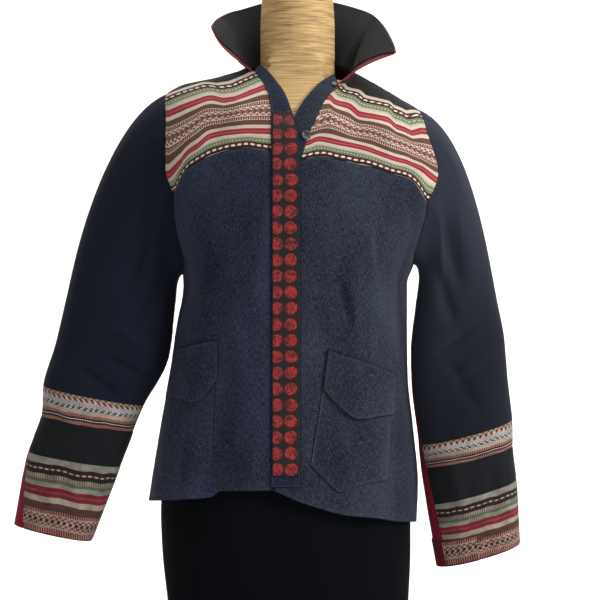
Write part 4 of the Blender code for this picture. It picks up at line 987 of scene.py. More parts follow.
# Both sleeves are one navy cotton: the wearer's right copy is darker as painted shade, the left copy is paler,
# and its upper sleeve is painted lighter still where the key light falls
NAVY_CLOTH = {
    "right": cotton("navy_cotton_right_shaded", (0.0022, 0.003, 0.009), (0.008, 0.0105, 0.022)),
    "left": cotton("navy_cotton_left_lit", (0.003, 0.0038, 0.008), (0.011, 0.0132, 0.0215),
                   fade_and_light=(0.12, 0.34, (0.024, 0.0285, 0.043))),
}
BLACK_COTTON = cotton("black_cotton", (0.004, 0.0046, 0.0058), (0.0105, 0.0116, 0.014))
BURGUNDY_COTTON = cotton("burgundy_cotton", (0.12, 0.004, 0.014), (0.23, 0.01, 0.034))
COLLAR_LINING = cotton("collar_lining", (0.005, 0.0052, 0.0058), (0.014, 0.0145, 0.0155), 0.85)
print("plain cloths:", len(DENIM) + len(NAVY_CLOTH) + 3)

# %% [markdown]
# ## Striped cloth
# The yokes and cuffs are a narrow woven and cross-stitched cloth.  Its order of stripes is written down as
# a weaver does, from one edge: the width, the ground, and where it has one its thread and its figure.  One
# group reads such a chart, so that the yoke, the cuff and the narrow band share it.

# %% Charts of the striped cloths
CREAM = (0.64, 0.545, 0.42)
PALE = (0.47, 0.455, 0.375)
GREEN = (0.18, 0.205, 0.11)
RED = (0.33, 0.018, 0.032)
PINK = (0.43, 0.085, 0.105)
BROWN = (0.135, 0.055, 0.045)
RUST = (0.21, 0.03, 0.03)
DARK = (0.013, 0.013, 0.012)
WHITE = (0.78, 0.73, 0.64)
GREY_GREEN = (0.13, 0.16, 0.135)
LILAC = (0.43, 0.425, 0.5)
KINDS = ("plain", "ticks", "dots", "dashes", "checks", "diamonds", "net")
# Width in mm and ground, and for a figured row its thread and kind; the yoke's halves mirror each other
YOKE_CHART = (
    (2.4, RUST, GREY_GREEN, "diamonds"), (2.9, CREAM, RED, "checks"), (2.9, CREAM, RUST, "checks"),
    (1.4, CREAM), (1.6, RUST), (4.6, CREAM, BROWN, "ticks"), (1.2, CREAM), (9.0, BROWN), (7.0, CREAM),
    (4.4, RED), (2.6, PINK), (4.4, RED), (5.6, CREAM), (3.0, PALE), (4.0, GREEN),
    (2.4, GREEN, CREAM, "dots"), (3.6, GREEN), (4.0, DARK), (3.4, RED, WHITE, "dashes"), (3.6, DARK),
    (7.0, CREAM), (60.0, DARK),
)
CUFF_CHART = (
    (9.8, PALE), (5.8, DARK), (2.4, RED, WHITE, "dashes"), (6.4, DARK), (6.2, RUST, PALE, "ticks"),
    (4.8, GREEN), (6.6, PALE), (5.4, RED), (2.6, PINK), (5.8, RED), (8.2, CREAM), (11.0, BROWN),
    (5.0, CREAM, RED, "ticks"), (1.6, CREAM), (5.8, CREAM, RED, "checks"), (3.8, CREAM, DARK, "diamonds"),
    (5.8, CREAM, RED, "checks"), (2.6, PALE), (7.6, CREAM, RED, "ticks"), (3.0, BROWN),
)
BAND_CHART = (
    (2.9, CREAM, GREEN, "checks"), (2.9, CREAM, RED, "checks"), (2.6, RED, WHITE, "checks"),
    (7.0, WHITE, LILAC, "net"), (5.8, WHITE, DARK, "checks"), (6.0, PALE, CREAM, "ticks"),
    (4.6, CREAM, RED, "ticks"), (2.6, DARK), (1.2, WHITE), (2.8, DARK), (4.6, CREAM, RED, "ticks"),
    (0.8, DARK),
)
PITCH_MM = {"ticks": 3.5, "dots": 4.8, "dashes": 9.4, "checks": 8.7, "diamonds": 8.7, "net": 4.35}
THREAD_SHARE = {"ticks": 0.7, "dots": 0.48, "dashes": 0.55}
CHECK_ROW_MM = 2.9
DIAMOND_HALF = 0.28


def chart_group(name, chart, mirrored):
    """Striped cloth: steps of ground, thread and kind up the chart, and the kind's figure along it."""
    group, source, target = new_group(
        name,
        (("Cloth", "NodeSocketVector", None),),
        (("Color", "NodeSocketColor"), ("Height", "NodeSocketFloat")),
    )
    cloth = source.outputs["Cloth"]
    run_mm, up_mm = (times(part, 1000.0) for part in split(cloth))
    if mirrored:
        up_mm = calc("ABSOLUTE", up_mm)
    wander = times(less(noise(cloth, (60.0, 60.0), 2.0), 0.5), 1.1)
    up_mm = plus(up_mm, wander)
    chart = [(*row, row[1], "plain")[:4] for row in chart]
    widths = np.array([row[0] for row in chart])
    starts = np.concatenate([[0], np.cumsum(widths)[:-1]]) / widths.sum()
    share = calc("DIVIDE", up_mm, float(widths.sum()), clamp=True)
    ground, thread = (steps(share, list(zip(starts, (row[k] for row in chart)))) for k in (1, 2))
    marks = [KINDS.index(row[3]) / len(KINDS) for row in chart]
    kind = steps(share, [(place, (mark, mark, mark)) for place, mark in zip(starts, marks)])
    total = 0.0
    for mark, label in enumerate(KINDS[1:], start=1):
        phase = calc("FRACT", calc("DIVIDE", run_mm, PITCH_MM[label]))
        if label in THREAD_SHARE:
            figure = calc("LESS_THAN", phase, THREAD_SHARE[label])
        elif label in ("checks", "net"):
            row = calc("FRACT", calc("DIVIDE", up_mm, 2 * CHECK_ROW_MM))
            figure = calc("ABSOLUTE", less(calc("LESS_THAN", phase, 0.5), calc("LESS_THAN", row, 0.5)))
        else:
            figure = calc("LESS_THAN", calc("ABSOLUTE", less(phase, 0.5)), DIAMOND_HALF)
        here = calc("COMPARE", kind, mark / len(KINDS), 0.4 / len(KINDS))
        total = plus(total, times(here, figure))
    colour = blend(total, ground, thread)
    weave = woven(cloth, 800.0)
    shade = span(weave["Mottle"], 0.3, 0.7, 0.8, 1.12)
    stain = span(noise(cloth, (16.0, 22.0), 3.0), 0.3, 0.75, 1.05, 0.86)
    tone = group.nodes.new("ShaderNodeCombineColor")
    for socket in tone.inputs:
        feed(socket, times(shade, stain))
    feed(target.inputs["Color"], blend(1.0, colour, tone.outputs[0], "MULTIPLY"))
    feed(target.inputs["Height"], plus(weave["Height"], times(total, 0.8)))
    return group


def aged(cloth, colour, darker):
    """Darkens a cloth in soft patches: a share a little under or over the given one."""
    patch = noise(cloth, (45.0, 60.0), 4.0, 0.65)
    return blend(span(patch, 0.4, 0.6, darker * 0.8, darker * 1.15), colour, (0.016, 0.008, 0.007))


def swayed(cloth, sway):
    """Moves the rows of a chart up and down along them by a slow noise, as hand-set rows do."""
    joined = new_node("ShaderNodeCombineXYZ", cloth)
    feed(joined.inputs[1], times(less(noise(cloth, (26.0, 5.0), 1.0), 0.5), sway))
    moved = new_node("ShaderNodeVectorMath", cloth)
    feed(moved.inputs[0], cloth)
    feed(moved.inputs[1], joined.outputs[0])
    return moved.outputs[0]


def striped(name, chart, mirrored=False, darker=0.12, sway=0.002):
    """Material of a striped cloth from its chart, with its rows swayed and the cloth darkened in patches."""
    material, cloth = new_cloth(name, 0.9, 0.05, 0.12)
    rows = place_group(chart_group(name + "_chart", chart, mirrored), swayed(cloth, sway))
    return dyed(material, aged(cloth, rows["Color"], darker), rows["Height"], 0.0005)


CUFF_AGE = 0.6
CUFF_SWAY = 0.01
YOKE_STRIPES = striped("yoke_stripes", YOKE_CHART, mirrored=True)
CUFF_STRIPES = striped("cuff_stripes", CUFF_CHART, darker=CUFF_AGE, sway=CUFF_SWAY)
BAND_STRIPES = striped("band_stripes", BAND_CHART, darker=0.5, sway=0.008)
print("chart rows:", len(YOKE_CHART), len(CUFF_CHART), len(BAND_CHART))

# %% [markdown]
# ## Fronts and back
# The denim body is cut in three: two fronts and a back.  They hang from the yokes, so their upper edges are
# held and their hems swing free.  Each is one grid on the jacket's surface, with its seams drawn in.

# %% Fronts and back
def panel_face(plane, seams, out=0.0):
    """Outer face of a panel and its normals: the cloth surface, plus the dips and puckers of its seams."""
    flat = cloth_point(plane[..., 0], plane[..., 1], out)
    normal = grid_normal(flat, body_normal(plane[..., 0], plane[..., 1], JACKET_ROWS))
    return flat + normal * seam_relief(flat, seams)[..., None], normal


for side_name in SIDES:
    sew(f"front_{side_name}_denim", f"front_{side_name}", *panel_face(front_planes[side_name], "te"),
        DENIM[side_name])
sew("back_denim", "back_body", *panel_face(back_plane(), "tse"), DENIM["left"])
print("denim panels:", sorted(sewn))

# %% [markdown]
# ## Yokes
# The stripes of a yoke are parallel on the cloth, but the cloth was cut on a slant and eased into the
# shoulder, so they wave.  Four of the stripes are followed by short tables of (x, height); between them the
# place in the chart is found by a straight share, and above them it is the length of cloth run.

# %% Yoke stripes
STRIPE_LINES = {
    "right": {
        "dashes": ((-0.1635, 0.6218), (-0.1564, 0.6341), (-0.145, 0.6502), (-0.1308, 0.6668),
                   (-0.1138, 0.6763), (-0.0854, 0.6834), (-0.0598, 0.6845), (-0.0262, 0.6799)),
        "lower_red": ((-0.1741, 0.6455), (-0.1564, 0.6644), (-0.1327, 0.6857), (-0.1138, 0.7012),
                      (-0.0854, 0.7066), (-0.0598, 0.7076), (-0.0262, 0.707)),
        "centre": ((-0.1741, 0.7012), (-0.1564, 0.7083), (-0.1398, 0.7176), (-0.1209, 0.7296),
                   (-0.0972, 0.7318), (-0.0736, 0.7354), (-0.0499, 0.7378), (-0.0262, 0.7378)),
        "upper_red": ((-0.1753, 0.7378), (-0.1564, 0.7449), (-0.1327, 0.7531), (-0.1138, 0.758),
                      (-0.0925, 0.7531), (-0.0736, 0.758), (-0.0546, 0.7662), (-0.0381, 0.7733)),
    },
    "left": {
        "dashes": ((0.0175, 0.6668), (0.0353, 0.6728), (0.0637, 0.6692), (0.0921, 0.6625), (0.1205, 0.6537),
                   (0.1465, 0.6431), (0.1726, 0.6349), (0.1844, 0.6195), (0.1939, 0.6076)),
        "lower_red": ((0.0235, 0.6881), (0.04, 0.6963), (0.0637, 0.6917), (0.0921, 0.687), (0.1158, 0.6799),
                      (0.1394, 0.6704), (0.1631, 0.6644), (0.1868, 0.6573), (0.2104, 0.6408)),
        "centre": ((0.0353, 0.7176), (0.0566, 0.726), (0.068, 0.7212), (0.0921, 0.7105), (0.1158, 0.707),
                   (0.1394, 0.6976), (0.1631, 0.6905), (0.1868, 0.6799), (0.2057, 0.6739)),
        "upper_red": ((0.0566, 0.7591), (0.0637, 0.7509), (0.0826, 0.746), (0.0992, 0.7331),
                      (0.1205, 0.7296), (0.1394, 0.726), (0.1536, 0.7141), (0.1702, 0.7059),
                      (0.1891, 0.7118)),
    },
}
STRIPE_PLACES = (-0.0687, -0.0387, 0.0, 0.0387)
SEAM_TRIM = 0.006
LEAST_STEP = 0.55


def stripe_place(face, lines):
    """Place in the chart, in metres from its middle row, of every point of a yoke."""
    x, z = face[..., 0], face[..., 2]
    levels = [smooth(x, [p[0] for p in line], [p[1] for p in line]) for line in lines.values()]
    order = np.argsort(face[0, :, 0])
    seam = np.interp(x, face[0, order, 0], face[0, order, 2])
    levels[0] = seam + SEAM_TRIM
    for k in range(1, len(levels)):
        least = (STRIPE_PLACES[k] - STRIPE_PLACES[k - 1]) * LEAST_STEP
        levels[k] = np.maximum(levels[k], levels[k - 1] + least)
    place = STRIPE_PLACES[0] + np.minimum(z - levels[0], 0)
    pairs = list(zip(STRIPE_PLACES[1:], STRIPE_PLACES[:-1], levels[1:], levels[:-1]))
    for above, below, high, low in pairs:
        place += (above - below) * np.clip((z - low) / (high - low), 0, 1)
    over = np.clip(z - levels[-1], 0, None)
    step = np.linalg.norm(np.diff(face, axis=0), axis=-1)
    share = np.clip(over[1:] / np.maximum(z[1:] - z[:-1], 1e-6), 0, 1)
    return place + np.pad(np.cumsum(step * share, axis=0), ((1, 0), (0, 0)))


for side_name in SIDES:
    face, normal = panel_face(yoke_planes[side_name], "bte")
    yoke_uv = np.stack([lengths(face, 1), stripe_place(face, STRIPE_LINES[side_name])], axis=-1)
    sew(f"yoke_{side_name}_cloth", f"yoke_{side_name}", face, normal, YOKE_STRIPES, yoke_uv)
face, normal = panel_face(back_yoke_plane(), "bse")
back_uv = np.stack([lengths(face, 1), STRIPE_PLACES[0] + lengths(face, 0)], axis=-1)
sew("back_yoke_cloth", "back_yoke", face, normal, YOKE_STRIPES, back_uv)
print("yoke stripes run from", yoke_uv[..., 1].min().round(3), "to", yoke_uv[..., 1].max().round(3))

# %% [markdown]
# ## Front edge
# The right front carries a denim placket that turns into the neck band, and a bought strip of black cloth
# with red dots is sewn down its middle.  The left front has a plain button stand that passes under it.
# What lies on a panel is worked out from the same surface, a cloth's thickness further out.

# %% Placket, strip and button stand
PLACKET_OUT = CLOTH + 0.0005
STRIP_OUT = PLACKET_OUT + CLOTH + 0.0004
STRIP_TOP = 0.972
LONG_ROWS = 240
STRIP_STEPS = 16
DOT_RADIUS = 0.0088
DOT_PITCH = 0.0227
DOT_FOOT = 0.0083
DOT_COLUMNS = (0.0049, 0.0254)
DIM_FROM, DIM_TO = 0.46, 0.57


def dotted_cloth():
    """Black cloth with printed dots: distance to the nearest dot centre in each column, with worn edges."""
    material, cloth = new_cloth("dotted_strip", 0.75, 0.05, 0.25)
    across, up = split(cloth)
    waver = times(less(noise(cloth, (90.0, 90.0), 2.0), 0.5), 0.0035)
    shift = times(less(noise(cloth, (0.0, 35.0), 0.0), 0.5), 0.004)
    row = calc("DIVIDE", less(up, DOT_FOOT), DOT_PITCH)
    high = times(less(row, calc("ROUND", row)), DOT_PITCH)
    nearest = 1.0
    for centre in DOT_COLUMNS:
        wide = less(plus(across, shift), centre)
        reach = calc("SQRT", plus(*(calc("POWER", calc("ABSOLUTE", part), 2.0) for part in (wide, high))))
        nearest = calc("MINIMUM", nearest, reach)
    edge = plus(nearest, waver)
    dot = span(edge, DOT_RADIUS - 0.0006, DOT_RADIUS + 0.0006, 1.0, 0.0)
    weave = woven(cloth, 700.0)
    blot = noise(cloth, (230.0, 230.0), 4.0, 0.7)
    red = blend(span(blot, 0.44, 0.62), (0.36, 0.024, 0.022), (0.04, 0.004, 0.005))
    fade_and_light = noise(cloth, (75.0, 75.0), 2.0)
    dimmed = span(up, DIM_FROM, DIM_TO, 1.0, 0.4)
    dot = times(dot, times(span(fade_and_light, 0.36, 0.5, 0.35, 1.0), dimmed))
    black = blend(weave["Mottle"], (0.004, 0.003, 0.0032), (0.015, 0.009, 0.009))
    raised = plus(weave["Height"], times(dot, 0.5))
    return dyed(material, blend(dot, black, red), raised, 0.0004)


outer_edge = ((PLACKET_OUTER_X, PLACKET_FOOT), (PLACKET_OUTER_X, PLACKET_MIDDLE), *RIGHT_BAND_OUTER)
inner_edge = ((PLACKET_INNER_X, PLACKET_FOOT), (PLACKET_INNER_X, PLACKET_MIDDLE), *RIGHT_BAND_INNER)
DOTTED = dotted_cloth()
LONG_GRID = even(LONG_ROWS), even(STRIP_STEPS)
placket_plane = angle_edge(ruled(outer_edge, inner_edge, *LONG_GRID))
placket_face, placket_normal = panel_face(placket_plane, "", PLACKET_OUT)
sew("placket_denim", "placket_right", placket_face, placket_normal, DENIM["placket"])
strip_plane = angle_edge(ruled(STRIP_OUTER, STRIP_INNER, *LONG_GRID))[: int(LONG_ROWS * STRIP_TOP) + 1]
strip_face, strip_normal = panel_face(strip_plane, "", STRIP_OUT)
strip_uv = cloth_uv(strip_face)
sew("dot_strip_cloth", "dot_strip", strip_face, strip_normal, DOTTED, strip_uv)
stand_face, stand_normal = panel_face(stand_plane(STRIP_STEPS), "s")
sew("button_stand_denim", "button_stand_left", stand_face, stand_normal, DENIM["left"])
print("strip length", round(float(strip_uv[-1, 0, 1]), 3), "m")

# %% [markdown]
# ## Pockets
# A patch pocket is pressed flat at its stitched edges and fills a little in the middle.  Its pointed flap
# hangs from a seam above the mouth, and its free point stands off the cloth by a millimetre or two.

# %% Pockets and flaps
POCKET_OUT = CLOTH + 0.0004
FLAP_OUT = POCKET_OUT + CLOTH + 0.0004
POCKET_FILL = 0.0016
FLAP_LIFT = 0.0038
POCKET_STEPS = 48
FLAP_STEPS = 36
POCKET_EDGES = {
    "right": (RIGHT_POCKET_TOP, RIGHT_POCKET_FOOT, RIGHT_FLAP_TOP, RIGHT_FLAP_FOOT),
    "left": (LEFT_POCKET_TOP, LEFT_POCKET_FOOT, LEFT_FLAP_TOP, LEFT_FLAP_FOOT),
}


def pocket_plane(top, foot, rows):
    """Grid between a pocket's or flap's top edge and its pointed foot, with its shares across and up."""
    across, up = even(POCKET_STEPS), even(rows)
    return angle_edge(ruled(foot, top, across, up).swapaxes(0, 1)), across[None], up[:, None]


def pocket_face(name):
    """Pocket: stitched flat at its edges, filled by a half sine across and an S up to the flap's foot."""
    top, foot, _, _ = POCKET_EDGES[name]
    plane, across, up = pocket_plane(top, foot, POCKET_STEPS)
    fill = np.sin(math.pi * across) * ease(up, 0.0, 0.25) * (1 - ease(up, 0.35, 0.6))
    return panel_face(plane, "", POCKET_OUT + POCKET_FILL * fill)


def flap_face(name):
    """Flap: held along its top, and lifted towards its foot by a cosine that is largest at the point."""
    _, _, top, foot = POCKET_EDGES[name]
    plane, across, up = pocket_plane(top, foot, FLAP_STEPS)
    lift = (1 - ease(up, 0.0, 0.8)) * (0.35 + 0.65 * np.sin(math.pi * across))
    return panel_face(plane, "", FLAP_OUT + FLAP_LIFT * lift)


for side_name in SIDES:
    sew(f"pocket_{side_name}_denim", f"pocket_{side_name}", *pocket_face(side_name), DENIM[side_name])
    sew(f"flap_{side_name}_denim", f"flap_{side_name}", *flap_face(side_name), DENIM[side_name])
print("pieces so far:", len(sewn))

# %% [markdown]
# ## Collar
# The stand collar is two cloths sewn together at the rim: a patterned one outside and a black one inside.
# It rises from the neckline, bows outwards and ends in two points that fall open.  The rim is bound with a
# cord of cloth, and a black and white zigzag braid covers its lower seam.

# %% Collar surfaces
COLLAR_STEPS_ROUND = 120
COLLAR_STEPS_UP = 16
TRIM_SHARES = (0.07, 0.19)
TRIM_THICKNESS = 0.0007
PIPING_RADIUS = 0.0013
# The collar's seam runs a little further to the front than its rim, because its two points are cut away
COLLAR_SEAM_TURNS = (-124.0, 143.0)
COLLAR_RISE = 0.009
WING_BULGE = (-0.016, 0.0, -0.003)
WING_DROP = 0.008
WING_REACH = 16
COLLAR_TUCK = 0.0022
LINING_INSET = 0.085
LINING_GAP = 0.0009


def neckline():
    """Neck edge of yokes and back yoke as points, from the right front round the back to the left."""
    right_ridge = ridge(SIDES["right"], 2)[0]
    left_ridge = ridge(SIDES["left"], 2)[0]
    right = angle_edge(along((RIGHT_BAND_OUTER[-1], right_ridge), NECK_EDGE_POINTS))
    back = wrapped(angle_edge(back_neck(BACK_COLUMNS - 2 * RIDGE_COLUMNS), -1.0))
    left = angle_edge(along((left_ridge, LEFT_BAND_OUTER[-1]), NECK_EDGE_POINTS))
    plane = np.concatenate([right, back, left])
    return cloth_point(plane[:, 0], plane[:, 1])


def around_neck(turn, radius, height):
    """Point at a turn round the collar's centre, 0 at the back, with a radius and a height."""
    turn = np.radians(turn)
    x = COLLAR_CENTRE[0] + radius * np.sin(turn)
    y = COLLAR_CENTRE[1] + radius * np.cos(turn)
    return np.stack([x, y, height], axis=-1)


def collar_grid():
    """Collar's outer face: from the neckline to the rim, bowed outwards by a half sine, with its normals."""
    turns = column(COLLAR_ROWS, COLLAR_COLUMNS, "turn")
    share = even(COLLAR_STEPS_ROUND)
    at = turns[0] + (turns[-1] - turns[0]) * share
    seam_at = COLLAR_SEAM_TURNS[0] + (COLLAR_SEAM_TURNS[1] - COLLAR_SEAM_TURNS[0]) * share
    edge = neckline() - np.array([*COLLAR_CENTRE, 0])
    edge_turn = np.degrees(np.arctan2(edge[:, 0], edge[:, 1]))
    order = np.argsort(edge_turn)
    radius = np.interp(seam_at, edge_turn[order], np.hypot(edge[order, 0], edge[order, 1])) - COLLAR_INSET
    seam_z = np.interp(seam_at, edge_turn[order], edge[order, 2]) - COLLAR_TUCK
    seam = around_neck(seam_at, radius - COLLAR_INSET, seam_z)
    rim_turn, rim_radius, rim_z = (smooth(at, turns, column(COLLAR_ROWS, COLLAR_COLUMNS, name))
                                   for name in COLLAR_COLUMNS[1:])
    near_end = 1 - ease(np.arange(COLLAR_STEPS_ROUND + 1), 0, WING_REACH)
    rim_z = rim_z + COLLAR_RISE * (1 - ease(np.abs(at), 60, 105)) - WING_DROP * near_end
    rim = around_neck(rim_turn, rim_radius, rim_z)
    up = even(COLLAR_STEPS_UP)[:, None, None]
    grid = seam[None] + (rim - seam)[None] * up
    grid = grid + np.array(WING_BULGE) * np.sin(math.pi * up) * near_end[None, :, None]
    normal = grid_normal(grid, (grid - np.array([*COLLAR_CENTRE, 0])) * np.array([1, 1, 0]))
    return grid - normal * COLLAR_FLARE * np.sin(math.pi * up), normal


def narrowed(grid, inset):
    """The same rows, cut short at both ends: by the inset at the seam, and by nothing at the rim."""
    last = grid.shape[1] - 1
    up = even(len(grid) - 1)[:, None]
    share = even(last)[None]
    at = (inset * (1 - up) * (1 - 2 * share) + share) * last
    left = np.clip(at.astype(int), 0, last - 1)
    part = (at - left)[..., None]
    near, far = (np.take_along_axis(grid, (left + k)[..., None], axis=1) for k in (0, 1))
    return near + (far - near) * part


def between_rows(grid, low, high, count):
    """Rows of a grid re-cut between two shares of its height."""
    at = np.linspace(low, high, count) * (len(grid) - 1)
    row = np.clip(at.astype(int), 0, len(grid) - 2)
    share = (at - row)[:, None, None]
    return grid[row] * (1 - share) + grid[row + 1] * share


collar_face, collar_normal = collar_grid()
print("collar", collar_face.shape, "rim length",
      round(float(lengths(collar_face, 1)[-1, -1]), 3), "m")

# %% [markdown]
# ### Collar cloths
# The outer cloth is a dark red ground with small woven marks.  The braid is a zigzag: a triangle wave along
# the braid, compared with the height across it, gives black on one side of the line and white on the other.

# %% Collar materials
def collar_pattern():
    """Dark red and brown cloth with rows of small woven marks that come and go."""
    material, cloth = new_cloth("collar_pattern", 0.88, 0.05, 0.15)
    across, up = split(cloth)
    run = calc("FRACT", calc("DIVIDE", across, 0.0052))
    rise = calc("FRACT", calc("DIVIDE", up, 0.007))
    mark = times(calc("LESS_THAN", run, 0.55), calc("LESS_THAN", rise, 0.45))
    patchy = noise(cloth, (85.0, 60.0), 3.0, 0.6)
    mark = times(mark, span(patchy, 0.44, 0.56))
    ground = blend(span(patchy, 0.35, 0.65), (0.15, 0.016, 0.018), (0.04, 0.014, 0.014))
    weave = woven(cloth, 800.0)
    colour = blend(times(mark, 0.7), ground, (0.26, 0.16, 0.11))
    colour = blend(span(weave["Mottle"], 0.4, 0.7, 0.0, 0.5), colour, (0.012, 0.008, 0.01))
    return dyed(material, colour, weave["Height"], 0.0004)


def zigzag_braid():
    """Braid: white where the height across it is under a triangle wave of the run, black elsewhere."""
    material, cloth = new_cloth("zigzag_braid", 0.8, 0.05, 0.2)
    across, up = split(cloth)
    wave = calc("PINGPONG", across, 0.0035)
    line = calc("ABSOLUTE", less(wave, up))
    white = calc("LESS_THAN", line, 0.0013)
    weave = woven(cloth, 900.0)
    colour = blend(white, (0.01, 0.009, 0.01), (0.56, 0.54, 0.5))
    return dyed(material, colour, plus(weave["Height"], white), 0.0004)


COLLAR_CLOTH = collar_pattern()
BRAID = zigzag_braid()
lining_normal = unit(narrowed(collar_normal, LINING_INSET))
lining_face = narrowed(collar_face, LINING_INSET) - lining_normal * (CLOTH + LINING_GAP)
sew("collar_outer_cloth", "collar_outer", collar_face, collar_normal, COLLAR_CLOTH)
sew("collar_inner_cloth", "collar_inner", lining_face, lining_normal, COLLAR_LINING)
trim_normal = between_rows(collar_normal, *TRIM_SHARES, 5)
trim_face = between_rows(collar_face, *TRIM_SHARES, 5) + trim_normal * (TRIM_THICKNESS + SEAM_GAP)
braid = add_shell("collar_braid", trim_face, trim_normal, cloth_uv(trim_face), BRAID, TRIM_THICKNESS)
print("braid width", round(float(lengths(trim_face, 0)[-1].mean()) * 1000, 1), "mm")

# %% [markdown]
# ### Piping
# Piping is a round cord of cloth caught in the rim seam.  A circle carried along the rim path makes it: at
# each point the circle lies in the plane of the cloth's normal and of the direction up the collar.

# %% Piping
TUBE_SIDES = 10


def wrap_quads(count, sides):
    """Vertex numbers of the cells of rings that close on themselves."""
    index = np.arange(count * sides).reshape(count, sides)
    ahead = np.roll(index, -1, axis=1)
    return np.stack([index[:-1], ahead[:-1], ahead[1:], index[1:]], axis=-1).reshape(-1, 4)


def add_rings(name, rings, uv, material, sharp=50.0):
    """Closed piece through rings of points, its two ends closed by flat caps."""
    count, sides = rings.shape[:2]
    index = np.arange(count * sides).reshape(count, sides)
    caps = [index[0, ::-1].tolist(), index[-1].tolist()]
    cells = wrap_quads(count, sides)
    return finish_mesh(name, rings.reshape(-1, 3), cells, uv.reshape(-1, 2), material, sharp, caps)


def tube_rings(path, first, second, radius):
    """Circle of a radius round every point of a path, in the plane of two directions."""
    turn = np.linspace(0, 2 * math.pi, TUBE_SIDES, endpoint=False)[None, :, None]
    rings = path[:, None] + radius * (np.cos(turn) * first[:, None] + np.sin(turn) * second[:, None])
    run = path_run(path)
    uv = np.stack(np.broadcast_arrays(np.sin(turn[..., 0]) * radius, run[:, None]), axis=-1)
    return rings, uv


def piping_cloth(length):
    """Dark bias cloth that turns red near the ends of its length."""
    material, cloth = new_cloth("collar_piping", 0.85, 0.05, 0.2)
    up = split(cloth)[1]
    near_end = calc("MINIMUM", up, less(length, up))
    weave = woven(cloth, 900.0)
    red = blend(weave["Mottle"], (0.16, 0.008, 0.014), (0.42, 0.03, 0.04))
    dark = blend(weave["Mottle"], (0.008, 0.004, 0.005), (0.05, 0.012, 0.014))
    return dyed(material, blend(span(near_end, 0.004, 0.012), red, dark), weave["Height"], 0.0003)


rise = unit(collar_face[-1] - collar_face[-2])
rim_path = collar_face[-1] - collar_normal[-1] * CLOTH + rise * PIPING_RADIUS * 0.9
rim_rings, rim_uv = tube_rings(rim_path, collar_normal[-1], rise, PIPING_RADIUS)
piping = add_rings("collar_piping", rim_rings, rim_uv, piping_cloth(float(rim_uv[-1, 0, 1])))
print("piping", round(float(rim_uv[-1, 0, 1]), 3), "m long")

# %% [markdown]
# ### Bound front ends
# The two short front ends of the collar are bound with a narrow red edge, from the seam up to the point.

# %% Front ends of the collar
END_RADIUS = 0.001


def red_binding():
    """Red bias cloth: two reds on the weave's mottle."""
    material, cloth = new_cloth("red_binding", 0.85, 0.05, 0.15)
    weave = woven(cloth, 900.0)
    colour = blend(weave["Mottle"], (0.12, 0.006, 0.01), (0.33, 0.022, 0.032))
    return dyed(material, colour, weave["Height"], 0.0003)


RED_BINDING = red_binding()
for end_name, end, inner in (("right", 0, 1), ("left", -1, -2)):
    outwards = unit(collar_face[:, end] - collar_face[:, inner])
    end_path = collar_face[:, end] - collar_normal[:, end] * CLOTH / 2 + outwards * END_RADIUS * 0.9
    end_rings, end_uv = tube_rings(end_path[1:], collar_normal[1:, end], outwards[1:], END_RADIUS)
    binding = add_rings(f"collar_end_{end_name}", end_rings, end_uv, RED_BINDING)
    print("bound end", end_name, round(float(end_uv[-1, 0, 1]) * 1000), "mm")

# %% [markdown]
# ## Sleeves
# A two-piece sleeve is a top sleeve and a narrow under-sleeve, set into the armhole and eased over the cap.
# One closed grid of rings is worked out for the whole sleeve and then cut along its two seams, so the parts
# meet.  The arm's pull makes slanted creases at the cap, and the cloth sinks in folds above the elbow.

# %% Sleeve surface
CAP_STEPS = 22
RING_STEPS = 60
BAND_STEPS = 12
CUFF_STEPS = 26
SLEEVE_CREASES = {
    "right": (
        (1, -0.195, 0.6, -0.235, 0.48, 0.011, -0.0035), (1, -0.215, 0.62, -0.26, 0.52, 0.012, 0.0025),
        (1, -0.175, 0.52, -0.23, 0.43, 0.011, -0.004), (1, -0.27, 0.39, -0.205, 0.355, 0.012, -0.003),
        (1, -0.3, 0.37, -0.245, 0.325, 0.012, -0.003), (1, -0.25, 0.43, -0.21, 0.395, 0.012, 0.0025),
        (1, -0.325, 0.3, -0.27, 0.27, 0.011, 0.002), (1, -0.29, 0.25, -0.32, 0.17, 0.011, 0.002),
        (1, -0.345, 0.24, -0.362, 0.15, 0.01, -0.0018), (-1, -0.2, 0.59, -0.245, 0.47, 0.012, -0.0035),
        (-1, -0.29, 0.4, -0.22, 0.37, 0.013, -0.003), (-1, -0.31, 0.34, -0.25, 0.31, 0.013, 0.0025),
        (-1, -0.3, 0.25, -0.33, 0.16, 0.012, 0.002),
    ),
    "left": (
        (1, 0.215, 0.6, 0.245, 0.48, 0.011, -0.0035), (1, 0.235, 0.62, 0.265, 0.5, 0.012, 0.0025),
        (1, 0.21, 0.52, 0.235, 0.43, 0.011, -0.0035), (1, 0.265, 0.43, 0.215, 0.39, 0.012, -0.0026),
        (1, 0.28, 0.39, 0.23, 0.35, 0.012, 0.0024), (1, 0.23, 0.38, 0.275, 0.3, 0.011, -0.0022),
        (1, 0.23, 0.24, 0.25, 0.15, 0.011, 0.002), (1, 0.29, 0.23, 0.298, 0.14, 0.01, -0.0018),
        (-1, 0.225, 0.59, 0.25, 0.47, 0.012, -0.0035), (-1, 0.275, 0.41, 0.225, 0.37, 0.013, -0.0028),
        (-1, 0.23, 0.34, 0.28, 0.3, 0.013, 0.0024), (-1, 0.25, 0.24, 0.27, 0.15, 0.012, 0.002),
    ),
}
CUFF_LENGTH = sum(row[0] for row in CUFF_CHART) / 1000
BAND_LENGTH = sum(row[0] for row in BAND_CHART) / 1000


